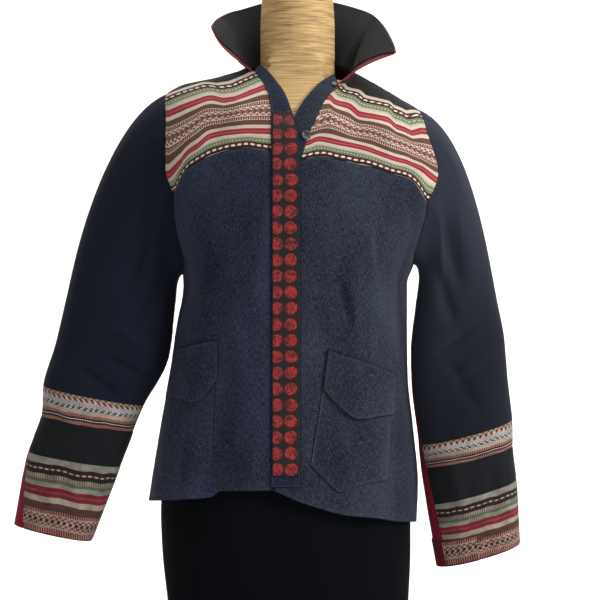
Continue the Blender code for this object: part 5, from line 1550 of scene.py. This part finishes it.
def armhole_loop(side):
    """Armhole's (angle, height) points: down the front from the tip to the armpit, and up the back."""
    top = armhole_top(side)[::-1]
    low = low_armhole(side)[::-1]
    front = np.concatenate([angle_edge(top), low[1:]])
    back = np.concatenate([behind(low)[::-1][1:], angle_edge(top[::-1], -1.0)[1:]])
    return np.concatenate([front, back[:-1]])


def ring_shape(ring, turns, out):
    """Tilted superellipse ring: centre + half width * cos along the tilted side axis + depth * sin ahead."""
    tilt = np.radians(ring["tilt"])[..., None]
    zero = 0 * tilt
    side_axis = np.stack([out * np.cos(tilt), zero, np.sin(tilt)], axis=-1)
    front_axis = np.stack([zero, zero - 1, -ring["drop"][..., None]], axis=-1)
    across = np.cos(turns)
    ahead = np.sin(turns)
    spread = (np.abs(across) ** SLEEVE_POWER + np.abs(ahead) ** SLEEVE_POWER) ** (1 / SLEEVE_POWER)
    centre = np.stack([ring["x"], ring["y"], ring["z"]], axis=-1)[..., None, :]
    wide = (ring["half_width"][..., None] * across / spread)[..., None] * side_axis
    deep = (ring["half_depth"][..., None] * ahead / spread)[..., None] * front_axis
    return centre + wide + deep


def sleeve_rings(side, shares):
    """Ring sizes at shares of the table's run, as a dictionary of arrays."""
    places = np.arange(len(side["rings"]))
    return {name: smooth(shares, places, column(side["rings"], RING_COLUMNS, name)) for name in RING_COLUMNS}


def sleeve_turns(side, down, count, armpit):
    """Turn of each column at each ring: even between the two seams, which swing from armhole to cuff."""
    (first_top, first_cuff), (second_top, second_cuff) = side["seams"]
    first = first_top + (first_cuff - first_top) * down
    second = second_top + (second_cuff - second_top) * down
    back = armpit + LOW_STEPS
    under = np.arange(armpit, back + 1)
    over = np.arange(back, armpit + count + 1)
    under_share = (under - armpit) / (back - armpit)
    over_share = (over - back) / (armpit + count - back)
    under_turn = first[:, None] + (second - first)[:, None] * under_share
    over_turn = second[:, None] + (first + 360 - second)[:, None] * over_share
    return np.radians(np.concatenate([under_turn, over_turn[:, 1:]], axis=1)), back - armpit


def sleeve_surface(side):
    """Whole sleeve's outer face: Hermite cap from the armhole to the first ring, then the rings."""
    loop = armhole_loop(side)
    count = len(loop)
    armpit = YOKE_STEPS + LOW_STEPS
    order = (np.arange(count + 1) + armpit) % count
    edge = cloth_point(loop[:, 0], loop[:, 1])
    normal = body_normal(loop[:, 0], loop[:, 1], JACKET_ROWS)
    run = unit(np.roll(edge, -1, axis=0) - np.roll(edge, 1, axis=0))
    away = unit(np.cross(normal, run))
    middle = edge.mean(axis=0)
    away = away * np.sign((away * (middle - edge)).sum(axis=-1, keepdims=True))
    edge = edge + away * SEAM_GAP
    last = len(side["rings"]) - 1
    shares = np.concatenate([np.linspace(0, side["band"], RING_STEPS + 1),
                             side["band"] + even(BAND_STEPS)[1:],
                             side["band"] + 1 + even(BAND_STEPS)[1:],
                             side["band"] + 2 + even(CUFF_STEPS)[1:]])
    turns, corner = sleeve_turns(side, shares / last, count, armpit)
    lower = ring_shape(sleeve_rings(side, shares), turns, side["out"])
    start = edge[order]
    goal = lower[0]
    reach = np.linalg.norm(goal - start, axis=-1, keepdims=True)
    leave = unit(np.array([side["out"], 0.0, CAP_DROP]) + CAP_SWEEP * (away * np.array([1, 1, 0]))[order])
    arrive = unit(lower[1] - lower[0])
    t = even(CAP_STEPS)[:-1, None, None]
    pull = reach * CAP_PULL
    cap = ((1 + 2 * t) * (1 - t) ** 2 * start + t * (1 - t) ** 2 * pull * leave
           + t * t * (3 - 2 * t) * goal + t * t * (t - 1) * pull * arrive)
    grid = np.concatenate([cap, lower])
    return grid, normal[order], corner


def sleeve_normals(grid, seam_normal):
    """Normals of the closed sleeve grid, turned to the body's own normal along the shoulder seam."""
    closed = np.concatenate([grid[:, -2:-1], grid, grid[:, 1:2]], axis=1)
    run = (closed[:, 2:] - closed[:, :-2])
    rise = np.gradient(grid, axis=0)
    normal = unit(np.cross(rise, run))
    centre = grid.mean(axis=1, keepdims=True)
    normal = normal * np.sign(((grid - centre) * normal).sum(axis=-1).mean())
    agree = (normal[0] * seam_normal).sum(axis=-1, keepdims=True)
    share = ease(agree, 0.0, SEAM_AGREES)
    normal[0] = unit(normal[0] * (1 - share) + seam_normal * share)
    return normal


def band_uv(face, chart_length):
    """UV map that spreads a chart's whole length from the piece's upper edge to its lower edge."""
    down = lengths(face, 0)
    return np.stack([lengths(face, 1), down / down[-1] * chart_length], axis=-1)


def sleeve_parts(name, corner, last):
    """Pieces of one sleeve: name, first and last row, first and last column, cloth, chart length, seams."""
    band = CAP_STEPS + RING_STEPS
    dark = band + BAND_STEPS
    cuff = dark + BAND_STEPS
    foot = cuff + CUFF_STEPS
    return (
        (f"under_sleeve_{name}", 0, foot, 0, corner, BURGUNDY_COTTON, None, "se"),
        (f"sleeve_{name}", 0, band, corner, last, NAVY_CLOTH[name], None, "bse"),
        (f"sleeve_band_{name}", band, dark, corner, last, BAND_STRIPES, BAND_LENGTH, "btse"),
        (f"sleeve_dark_band_{name}", dark, cuff, corner, last, BLACK_COTTON, None, "btse"),
        (f"cuff_{name}", cuff, foot, corner, last, CUFF_STRIPES, CUFF_LENGTH, "tse"),
    )


def sew_sleeve(name):
    """One sleeve's grid with its creases, cut into its five pieces."""
    grid, seam_normal, corner = sleeve_surface(SIDES[name])
    normal = sleeve_normals(grid, seam_normal)
    hold = ease(np.arange(len(grid)) / CAP_STEPS, 0.0, 0.5)[:, None]
    relief = bells(grid, -normal[..., 1], SLEEVE_CREASES[name]) * hold * CREASE_DEPTH
    grid = grid + normal * relief[..., None]
    parts = sleeve_parts(name, corner, grid.shape[1] - 1)
    for node, top, foot, left, right, cloth, chart_length, seams in parts:
        cut = np.s_[top:foot + 1, left:right + 1]
        face = grid[cut] + normal[cut] * (seam_relief(grid[cut], seams) * hold[top:foot + 1])[..., None]
        uv = cloth_uv(face) if chart_length is None else band_uv(face, chart_length)
        sew(node + "_cloth", node, face, normal[cut], cloth, uv, edges="tse" if top == 0 else "btse")


for side_name in SIDES:
    sew_sleeve(side_name)
print("sleeve pieces:", [name for name in sewn if "sleeve" in name or "cuff" in name])

# %% [markdown]
# ### Turned-up corner
# The left cuff's inner corner is folded back up over itself, so its burgundy facing and a little of the
# stripes show.  It is the same ring formula with slightly larger rings, over part of the turn.

# %% Turned-up corner of the left cuff
TURN_UP_COLUMNS = 60
TURN_UP_ROWS = 14
TURN_UP_LIFT = 0.0006
TURN_UP_SPLIT_X = 0.2215


def turned_corner():
    """Rings of the cuff made larger by a small lift, between two turns; its lower edge is the fold."""
    side = SIDES["left"]
    last = len(side["rings"]) - 1
    shares = np.linspace(last - 1 + TURNED_CUFF["start"], last, TURN_UP_ROWS + 1)
    turns = np.radians(np.linspace(TURNED_CUFF["first"], TURNED_CUFF["last"], TURN_UP_COLUMNS + 1))
    rings = sleeve_rings(side, shares)
    for name in ("half_width", "half_depth"):
        rings[name] = rings[name] + TURN_UP_LIFT + CLOTH
    face = ring_shape(rings, turns[None] + 0 * shares[:, None], side["out"])
    centre = np.stack([rings["x"], rings["y"], rings["z"]], axis=-1)[:, None]
    return face, grid_normal(face, face - centre)


def turned_cloth(width, total):
    """Burgundy up to a width from the corner, and beyond it the cuff's stripes up to their last row."""
    material, cloth = new_cloth("turned_cuff", 0.9, 0.03, 0.1)
    shifted = scaled(cloth, (1.0, 1.0, 1.0), (0.0, CUFF_LENGTH - total, 0.0))
    stripes = place_group(bpy.data.node_groups["cuff_stripes_chart"], shifted)
    weave = woven(cloth, 900.0)
    plain = blend(weave["Mottle"], (0.07, 0.003, 0.008), (0.15, 0.007, 0.02))
    past = calc("GREATER_THAN", split(cloth)[0], width)
    older = aged(cloth, stripes["Color"], CUFF_AGE)
    return dyed(material, blend(past, plain, older), stripes["Height"], 0.0004)


turn_face, turn_normal = turned_corner()
turn_uv = cloth_uv(turn_face)
middle_row = TURN_UP_ROWS // 2
middle = turn_face[middle_row]
front = middle[:, 1] < middle[:, 1].mean()
facing_width = float(np.interp(TURN_UP_SPLIT_X, middle[front, 0], turn_uv[middle_row, front, 0]))
sew("cuff_turn_up_cloth", "cuff_turn_up_left", turn_face, turn_normal,
    turned_cloth(facing_width, float(turn_uv[-1, :, 1].mean())), turn_uv)
print("turned corner", round(float(lengths(turn_face, 1)[0, -1]), 3), "m round")

# %% [markdown]
# ## Stitches
# Topstitching is real thread, so it is modelled as small bars that sink into the cloth at both ends.  A line
# at a fixed distance inside a panel's edge is found on the panel's own grid, and the bars follow it.

# %% Stitch lines
STITCH_PITCH = 0.003
STITCH_LENGTH = 0.0022
STITCH_WIDTH = 0.00055
STITCH_HEIGHT = 0.00035


def inset_line(grid, normal, edge, distance):
    """Line at one distance inside an edge (b, t, s or e): a share between the two rows on either side."""
    turned, facing = from_edge(grid, edge), from_edge(normal, edge)
    run = lengths(turned, 0)
    row = np.clip((run < distance).sum(axis=0) - 1, 0, len(run) - 2)[None]
    low, high = (np.take_along_axis(run, row + k, axis=0)[0] for k in (0, 1))
    share = ((distance - low) / (high - low))[:, None]
    near, far = (np.take_along_axis(turned, (row + k)[..., None], axis=0)[0] for k in (0, 1))
    return near + (far - near) * share, np.take_along_axis(facing, row[..., None], axis=0)[0]


def stitch_points(line, normal):
    """Corners of the bars along one line: three cross sections each, the ends low and narrow."""
    run = path_run(line)
    at = np.arange(STITCH_PITCH, run[-1] - STITCH_PITCH, STITCH_PITCH)
    middle, up = at_places(at, run, line), at_places(at, run, normal)
    ahead = unit(at_places(at + STITCH_LENGTH / 2, run, line) - middle)
    across = unit(np.cross(up, ahead))
    rows = []
    for along_share, size in ((-0.5, 0.35), (0.0, 1.0), (0.5, 0.35)):
        spine = middle + ahead * along_share * STITCH_LENGTH
        top = STITCH_HEIGHT * (size - 0.5)
        half = STITCH_WIDTH * size / 2
        corners = ((-1.0, -STITCH_HEIGHT), (1.0, -STITCH_HEIGHT), (0.6, top), (-0.6, top))
        rows.append(np.stack([spine + across * half * wide + up * tall for wide, tall in corners], axis=1))
    return np.stack(rows, axis=1)


def add_stitches(name, lines, material):
    """All stitches of one thread and panel in one mesh."""
    bars = np.concatenate([stitch_points(*line) for line in lines])
    cells = wrap_quads(3, 4)
    ends = np.array([[3, 2, 1, 0], [8, 9, 10, 11]])
    faces = np.concatenate([cells, ends])[None] + 12 * np.arange(len(bars))[:, None, None]
    points = bars.reshape(-1, 3)
    piece = finish_mesh(name, points, faces.reshape(-1, 4), points[:, [0, 2]], material)
    return len(bars)


def thread(name, dark, light):
    """Sewing thread: two tones on a fine noise, with a slight sheen."""
    material, cloth = new_cloth(name, 0.6, 0.1, 0.4)
    place = new_node("ShaderNodeTexCoord", cloth).outputs["Object"]
    tone = noise(place, 900.0, 2.0)
    return dyed(material, blend(span(tone, 0.3, 0.7), dark, light), tone, 0.0002, 0.4)


# Thread darker than the denim: its navy colour, and also painted shadow lines along the stitched edges of
# pockets, flaps and placket
NAVY_THREAD_AND_EDGE_SHADOW = thread("navy_thread_and_edge_shadow", (0.006, 0.008, 0.016), (0.03, 0.036, 0.058))
GREY_THREAD = thread("grey_thread", (0.12, 0.13, 0.15), (0.36, 0.37, 0.39))
print("stitch", STITCH_LENGTH * 1000, "mm every", STITCH_PITCH * 1000, "mm")

# %% [markdown]
# ### Where the thread runs
# The hems are stitched 8 mm up, the placket beside its edges, and the pockets and flaps round their free
# sides.  The left pocket's front edge is stitched with a pale thread that has frayed.

# %% Add the stitches
EDGE_STITCH = 0.0022
HEM_STITCH = 0.008
FRAYED_STITCH = 0.0009
ROUND_POCKET = "bse"


def panel_normals(name):
    """Kept face of a sewn panel, with its outward normals."""
    piece, face = sewn[name]
    away = face * np.array([1, 1, 0]) - np.array([CENTRE_FRONT_X, 0, 0])
    return face, grid_normal(face, away)


def stitch(name, rows, material=NAVY_THREAD_AND_EDGE_SHADOW):
    """Stitches of one panel: rows are (panel, its edges, distance inside them)."""
    lines = [inset_line(*panel, edge, distance) for panel, edges, distance in rows for edge in edges]
    return name, add_stitches(name, lines, material)


counts = []
for side in SIDES:
    pocket, flap = panel_normals(f"pocket_{side}_denim"), panel_normals(f"flap_{side}_denim")
    counts.append(stitch(f"front_{side}_stitches",
                         [(panel_normals(f"front_{side}_denim"), "b", HEM_STITCH)]))
    counts.append(stitch(f"pocket_{side}_stitches",
                         [(pocket, ROUND_POCKET, EDGE_STITCH), (flap, "btse", EDGE_STITCH)]))
counts.append(stitch("pocket_left_pale_stitches", [(pocket, "s", FRAYED_STITCH)], GREY_THREAD))
placket = placket_face, placket_normal
counts.append(stitch("placket_stitches", [(placket, "bse", EDGE_STITCH)]))
counts.append(stitch("back_stitches", [(panel_normals("back_denim"), "b", HEM_STITCH)]))
counts.append(stitch("collar_stitches", [((collar_face, collar_normal), "t", EDGE_STITCH)]))
print("stitches:", counts)

# %% [markdown]
# ## Dress form
# The form has no head, arms or legs.  Its lower body is covered in smooth black jersey, and its chest,
# shoulders and neck are wound with fine straw.  Both are stacks of rings that close at their ends.

# %% Form surfaces
FORM_SIDES = 144
SOFTENING = 60
FOOT_DROP = 10
WINDING_SPAN = 0.15
FORM_TURN = np.linspace(0, 2 * math.pi, FORM_SIDES, endpoint=False)


def form_point(angle, height):
    """Form: its own table below, and the jacket's shoulders moved in by the cloth and a seat gap above."""
    own = body_point(angle, height, FORM_ROWS)
    normal = body_normal(angle, height, JACKET_ROWS)
    seat = body_point(angle, height, JACKET_ROWS) - normal * (WALL + SEAT_GAP)
    share = ease(height, *SHOULDER_BLEND)[..., None]
    return own * (1 - share) + seat * share


def neck_ring(height, angle):
    """Round neck section at one height."""
    radius = smooth(height, *(column(NECK_ROWS, NECK_COLUMNS, name) for name in NECK_COLUMNS))
    x = NECK_CENTRE[0] + radius * np.sin(angle)
    y = NECK_CENTRE[1] - radius * np.cos(angle)
    return np.stack([x, y, height + 0 * x], axis=-1)


def form_rings(heights):
    """Rings of the form at the given heights."""
    return np.stack([form_point(FORM_TURN, np.full(FORM_SIDES, h)) for h in heights])


def winding_uv(rings):
    """UV map with the sine of the turn across and each ring's mean length of surface run, without a seam."""
    rise = lengths(rings, 0).mean(axis=1, keepdims=True)
    return np.stack(np.broadcast_arrays(np.sin(FORM_TURN)[None] * WINDING_SPAN, rise), axis=-1)


def softened(rings):
    """Front of the neck's foot made rounder: each ring moves towards the mean of the two beside it."""
    round_rings = rings.copy()
    for _ in range(SOFTENING):
        round_rings[1:-1] = (round_rings[:-2] + round_rings[2:]) / 2
    z = rings[..., 2]
    share = ease(np.cos(FORM_TURN), 0.62, 0.9) * ease(z, 0.765, 0.785) * (1 - ease(z, 0.835, 0.87))
    lower = rings.copy()
    lower[:-FOOT_DROP, :, :2] = rings[FOOT_DROP:, :, :2]
    side = ease(np.abs(np.sin(FORM_TURN)), 0.35, 0.7) * ease(z, 0.762, 0.778) * (1 - ease(z, 0.8, 0.83))
    return rings + (round_rings - rings) * share[..., None] + (lower - rings) * side[..., None]


body_rings = form_rings(np.linspace(0.0, FORM_SPLIT_HEIGHT - SEAM_GAP, 80))
chest_heights = np.concatenate([np.linspace(FORM_SPLIT_HEIGHT, 0.76, 26), np.linspace(0.7615, 0.805, 34)])
chest_rings = form_rings(chest_heights)
neck_heights = np.concatenate([np.linspace(0.8085, 0.93, 48), (0.9325, 0.935, 0.937, 0.939, 0.9402, 0.941)])
neck_rings = np.stack([neck_ring(np.full(FORM_SIDES, h), FORM_TURN) for h in neck_heights])
straw_rings = softened(np.concatenate([chest_rings, neck_rings]))
print("form rings", len(body_rings), len(straw_rings))

# %% [markdown]
# ### Jersey and straw
# Straw is wound round the form, so its strands lie level: a noise stretched far along the turn and squeezed up
# the surface gives strands of slightly different colour, with painted shade in the low grooves between some of
# them.

# %% Form materials
def straw():
    """Wound straw: thin level strands in several tans, painted shade in the low grooves between them, and a
    fine height.
    """
    material, cloth = new_cloth("wound_straw", 0.72, 0.0, 0.25)
    strands = noise(cloth, (9.0, 780.0), 2.0, 0.6)
    broad = noise(cloth, (9.0, 160.0), 3.0, 0.55)
    fibre = noise(cloth, (160.0, 2400.0), 1.0)
    tone = plus(times(strands, 0.6), times(broad, 0.4))
    colour = blend(span(tone, 0.38, 0.62), (0.29, 0.165, 0.062), (0.7, 0.48, 0.215))
    # Painted shade: where the strands' height is lowest, the straw is darkened as if shaded in the groove
    gap = span(strands, 0.3, 0.4, 0.6, 0.0)
    colour = blend(gap, colour, (0.12, 0.065, 0.025))
    height = plus(strands, times(fibre, 0.35))
    return dyed(material, colour, height, 0.001, 0.7)


def jersey():
    """Black jersey: close fine noise and soft vertical variation in depth of black."""
    material, cloth = new_cloth("black_jersey", 0.95, 0.0, 0.04)
    weave = woven(cloth, 900.0)
    cloud = noise(cloth, (26.0, 4.0), 2.0)
    tone = plus(times(weave["Mottle"], 0.5), times(cloud, 0.5))
    colour = blend(tone, (0.0012, 0.0014, 0.002), (0.006, 0.0066, 0.0088))
    return dyed(material, colour, weave["Height"], 0.0003, 0.4)


form_parts = (
    ("form_lower_body", "form_body", body_rings, jersey()),
    ("form_straw_bust", "form_neck", straw_rings, straw()),
)
for name, node, rings, material in form_parts:
    piece = add_rings(name, rings, winding_uv(rings), material)
    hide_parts(node)
print("form height", round(float(straw_rings[..., 2].max()), 3), "m")

# %% [markdown]
# ## Button and snap
# The left front keeps a four-hole button just below the neck and a small snap near the collar.  A button is a
# turned profile: the radius and height of its rim, hollow and thickness, carried round an axis that stands on
# the cloth.  The four holes are short dark plugs a little below its face.

# %% Fasteners
TURNED_SIDES = 48
BUTTON_PROFILE = ((0.7, 0.0), (0.92, 0.12), (1.0, 0.4), (1.0, 0.62), (0.95, 0.86), (0.86, 1.0), (0.76, 0.98),
                  (0.66, 0.8), (0.5, 0.7), (0.2, 0.68), (0.02, 0.68))
SNAP_PROFILE = ((0.8, 0.0), (1.0, 0.2), (1.0, 0.5), (0.9, 0.72), (0.62, 0.78), (0.5, 0.6), (0.36, 0.62),
                (0.26, 1.0), (0.02, 1.0))


def fastener_frame(place, level):
    """Foot point of a fastener on the cloth, with the axis out of the cloth and two axes along it."""
    at = front_angle(np.array([place[0]]), np.array([place[1]])), np.array([place[1]])
    axis = body_normal(*at, JACKET_ROWS)[0]
    side_axis = unit(np.cross(np.array([0, 0, 1.0]), axis))
    return cloth_point(*at, np.array([level]))[0], axis, side_axis, np.cross(axis, side_axis)


def turned(name, node, place, radius, thickness, profile, material):
    """Ring for every (radius, height) of the profile: foot + axis * height + radius * the unit circle."""
    foot, axis, side_axis, up_axis = fastener_frame(place, LAYER_GAP)
    angle = np.linspace(0, 2 * math.pi, TURNED_SIDES, endpoint=False)[None, :, None]
    circle = np.cos(angle) * side_axis + np.sin(angle) * up_axis
    wide, tall = (np.array(values)[:, None, None] for values in zip(*profile))
    rings = foot + axis * thickness * tall + radius * wide * circle
    piece = add_rings(name, rings, rings[..., [0, 2]], material, 35.0)
    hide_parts(node)
    return piece


def polished(name, dark, light, roughness, metallic=0.0):
    """Moulded or plated finish: cloudy two tones and fine scratches that break the gloss."""
    material = bpy.data.materials.new(name)
    material.use_nodes = True
    nodes = material.node_tree.nodes
    nodes["Principled BSDF"].inputs["Metallic"].default_value = metallic
    place = nodes.new("ShaderNodeTexCoord").outputs["Object"]
    cloud = noise(place, 260.0, 3.0)
    scratch = noise(place, (1800.0, 300.0, 900.0), 2.0)
    feed(nodes["Principled BSDF"].inputs["Roughness"],
         span(scratch, 0.3, 0.7, roughness * 0.7, roughness * 1.4))
    return dyed(material, blend(span(cloud, 0.35, 0.65), dark, light), scratch, 0.0001, 0.3)


turned("smoky_button", "button", BUTTON_PLACE, BUTTON_RADIUS, BUTTON_THICKNESS, BUTTON_PROFILE,
       polished("smoky_resin", (0.02, 0.022, 0.03), (0.09, 0.092, 0.105), 0.25))
turned("small_snap", "snap", SNAP_PLACE, SNAP_RADIUS, SNAP_THICKNESS, SNAP_PROFILE,
       polished("snap_metal", (0.03, 0.03, 0.034), (0.11, 0.11, 0.12), 0.35, 0.6))
foot, axis, side_axis, up_axis = fastener_frame(BUTTON_PLACE, LAYER_GAP)
holes = foot + axis * BUTTON_THICKNESS * 0.7 + np.array(
    [(side_axis * a + up_axis * b) * BUTTON_RADIUS * 0.24 for a in (-1, 1) for b in (-1, 1)])
plug_circle = np.linspace(0, 2 * math.pi, 16, endpoint=False)[:, None]
plug_circle = (np.cos(plug_circle) * side_axis + np.sin(plug_circle) * up_axis) * BUTTON_RADIUS * 0.13
print("button holes", holes.shape[0], "about", round(BUTTON_RADIUS * 0.26 * 1000, 1), "mm wide")
for number, centre in enumerate(holes):
    rings = np.stack([centre + plug_circle - axis * 0.0004, centre + plug_circle + axis * 0.0001])
    hole = add_rings(f"button_hole_{number + 1}", rings, rings[..., [0, 2]], BLACK_COTTON, 35.0)

# %% [markdown]
# ## Flat cuts
# Every cloth has a flat size that it was cut to.  It is measured on the finished face: the longest row, the
# longest column and the summed area of the cells, which is what a maker would lay on the table.

HANGS_FROM = {"back_denim": "back_yoke_cloth", "placket": "front_right_denim", "dot_strip": "placket_denim",
              "collar_inner": "collar_outer_cloth", "cuff_turn_up": "cuff_left_cloth"}
for side in SIDES:
    HANGS_FROM |= {f"front_{side}": f"yoke_{side}_cloth", f"pocket_{side}": f"front_{side}_denim",
                   f"flap_{side}": f"pocket_{side}_denim", f"under_sleeve_{side}": f"sleeve_{side}_cloth",
                   f"sleeve_{side}": f"yoke_{side}_cloth", f"sleeve_band_{side}": f"sleeve_{side}_cloth",
                   f"sleeve_dark_band_{side}": f"sleeve_band_{side}_cloth",
                   f"cuff_{side}": f"sleeve_dark_band_{side}_cloth"}


def declare(name):
    """Flat width, length and area of one cloth."""
    piece, face = sewn[name]
    width = float(lengths(face, 1)[:, -1].max())
    length = float(lengths(face, 0)[-1].max())
    cells = face.reshape(-1, 3)[quads(*face.shape[:2])]
    crosses = np.cross(cells[:, 2] - cells[:, 0], cells[:, 3] - cells[:, 1])
    area = min(0.5 * float(np.linalg.norm(crosses, axis=1).sum()), width * length)
    return round(width, 3), round(length, 3), round(area, 4)


for name in sewn:
    print(f"{name:32s} width, length, area", *declare(name))

# %% [markdown]
# ## Studio
# The backdrop is a pale floor that curves up into a wall, so no edge shows.  Large soft lights from both
# sides and above keep the shadows weak, with a slightly stronger one from the front left.

# %% Floor, lights and camera
PALE_FLOOR = (0.92, 0.92, 0.91)
COVE_START = 1.4
COVE_RADIUS = 1.0
CAMERA_PLACE = (0.014, -3.2, 0.468)
CAMERA_LENS = 130.8
SKY_STRENGTH = 0.26
LIGHTS = (
    ("key", (2.7, -1.7, 1.7), (0.0, 0.0, 0.5), 1.2, 92.0),
    ("fill", (-2.4, -2.4, 1.2), (0.0, 0.0, 0.45), 2.2, 5.0),
    ("top", (0.4, -0.6, 2.9), (0.0, 0.0, 0.4), 1.6, 16.0),
    ("backdrop", (0.0, 0.9, 2.9), (0.0, 2.3, 0.9), 2.6, 90.0),
)


def open_back(material):
    """Lets a view from behind the wall pass through it: clear where the back of a face is seen."""
    nodes = material.node_tree.nodes
    mix = nodes.new("ShaderNodeMixShader")
    feed(mix.inputs[0], nodes.new("ShaderNodeNewGeometry").outputs["Backfacing"])
    feed(mix.inputs[1], nodes["Principled BSDF"].outputs[0])
    feed(mix.inputs[2], nodes.new("ShaderNodeBsdfTransparent").outputs[0])
    feed(nodes["Material Output"].inputs["Surface"], mix.outputs[0])


def cove():
    """Floor, quarter circle and wall as one strip that is carried across the width."""
    bend = np.linspace(0, math.pi / 2, 24)
    y = np.concatenate([[-6.0], COVE_START + COVE_RADIUS * np.sin(bend), [COVE_START + COVE_RADIUS]])
    z = np.concatenate([[0.0], COVE_RADIUS * (1 - np.cos(bend)), [5.0]])
    x = np.array([-6.0, 6.0])
    points = np.stack(np.broadcast_arrays(x[None], y[:, None], z[:, None]), axis=-1).reshape(-1, 3)
    mesh = bpy.data.meshes.new("studio_floor")
    mesh.from_pydata(points.tolist(), [], quads(len(y), 2).tolist())
    mesh.shade_smooth()
    floor = bpy.data.objects.new("studio_floor", mesh)
    bpy.context.scene.collection.objects.link(floor)
    material = bpy.data.materials.new("pale_floor")
    material.use_nodes = True
    nodes = material.node_tree.nodes
    shader = nodes["Principled BSDF"]
    shader.inputs["Roughness"].default_value = 0.9
    place = nodes.new("ShaderNodeTexCoord").outputs["Object"]
    tone = noise(place, 0.8, 2.0)
    dusty = tuple(value * 0.985 for value in PALE_FLOOR)
    feed(shader.inputs["Base Color"], blend(tone, PALE_FLOOR, dusty))
    open_back(material)
    mesh.materials.append(material)
    return floor


def aim(item, target):
    """Turns a light or camera so that its view runs from its place to the target."""
    direction = np.array(target) - np.array(item.location)
    item.rotation_euler = (math.atan2(math.hypot(direction[0], direction[1]), -direction[2]), 0.0,
                           math.atan2(-direction[0], direction[1]))


def add_light(name, place, target, size, power):
    """Square area light aimed at a point."""
    lamp = bpy.data.lights.new(name, "AREA")
    lamp.size = size
    lamp.energy = power
    item = bpy.data.objects.new(name, lamp)
    item.location = place
    bpy.context.scene.collection.objects.link(item)
    aim(item, target)


cove()
for light in LIGHTS:
    add_light(*light)
world = bpy.data.worlds.new("pale_studio")
world.use_nodes = True
world.node_tree.nodes["Background"].inputs["Color"].default_value = (1.0, 1.0, 1.0, 1.0)
world.node_tree.nodes["Background"].inputs["Strength"].default_value = SKY_STRENGTH
bpy.context.scene.world = world
lens = bpy.data.cameras.new("photo_camera")
lens.lens = CAMERA_LENS
lens.sensor_width = 36.0
camera = bpy.data.objects.new("photo_camera", lens)
camera.location = CAMERA_PLACE
camera.rotation_euler = (math.pi / 2, 0.0, 0.0)
bpy.context.scene.collection.objects.link(camera)
bpy.context.scene.camera = camera
bpy.context.scene.view_settings.view_transform = "Standard"
print("lights:", [light[0] for light in LIGHTS])
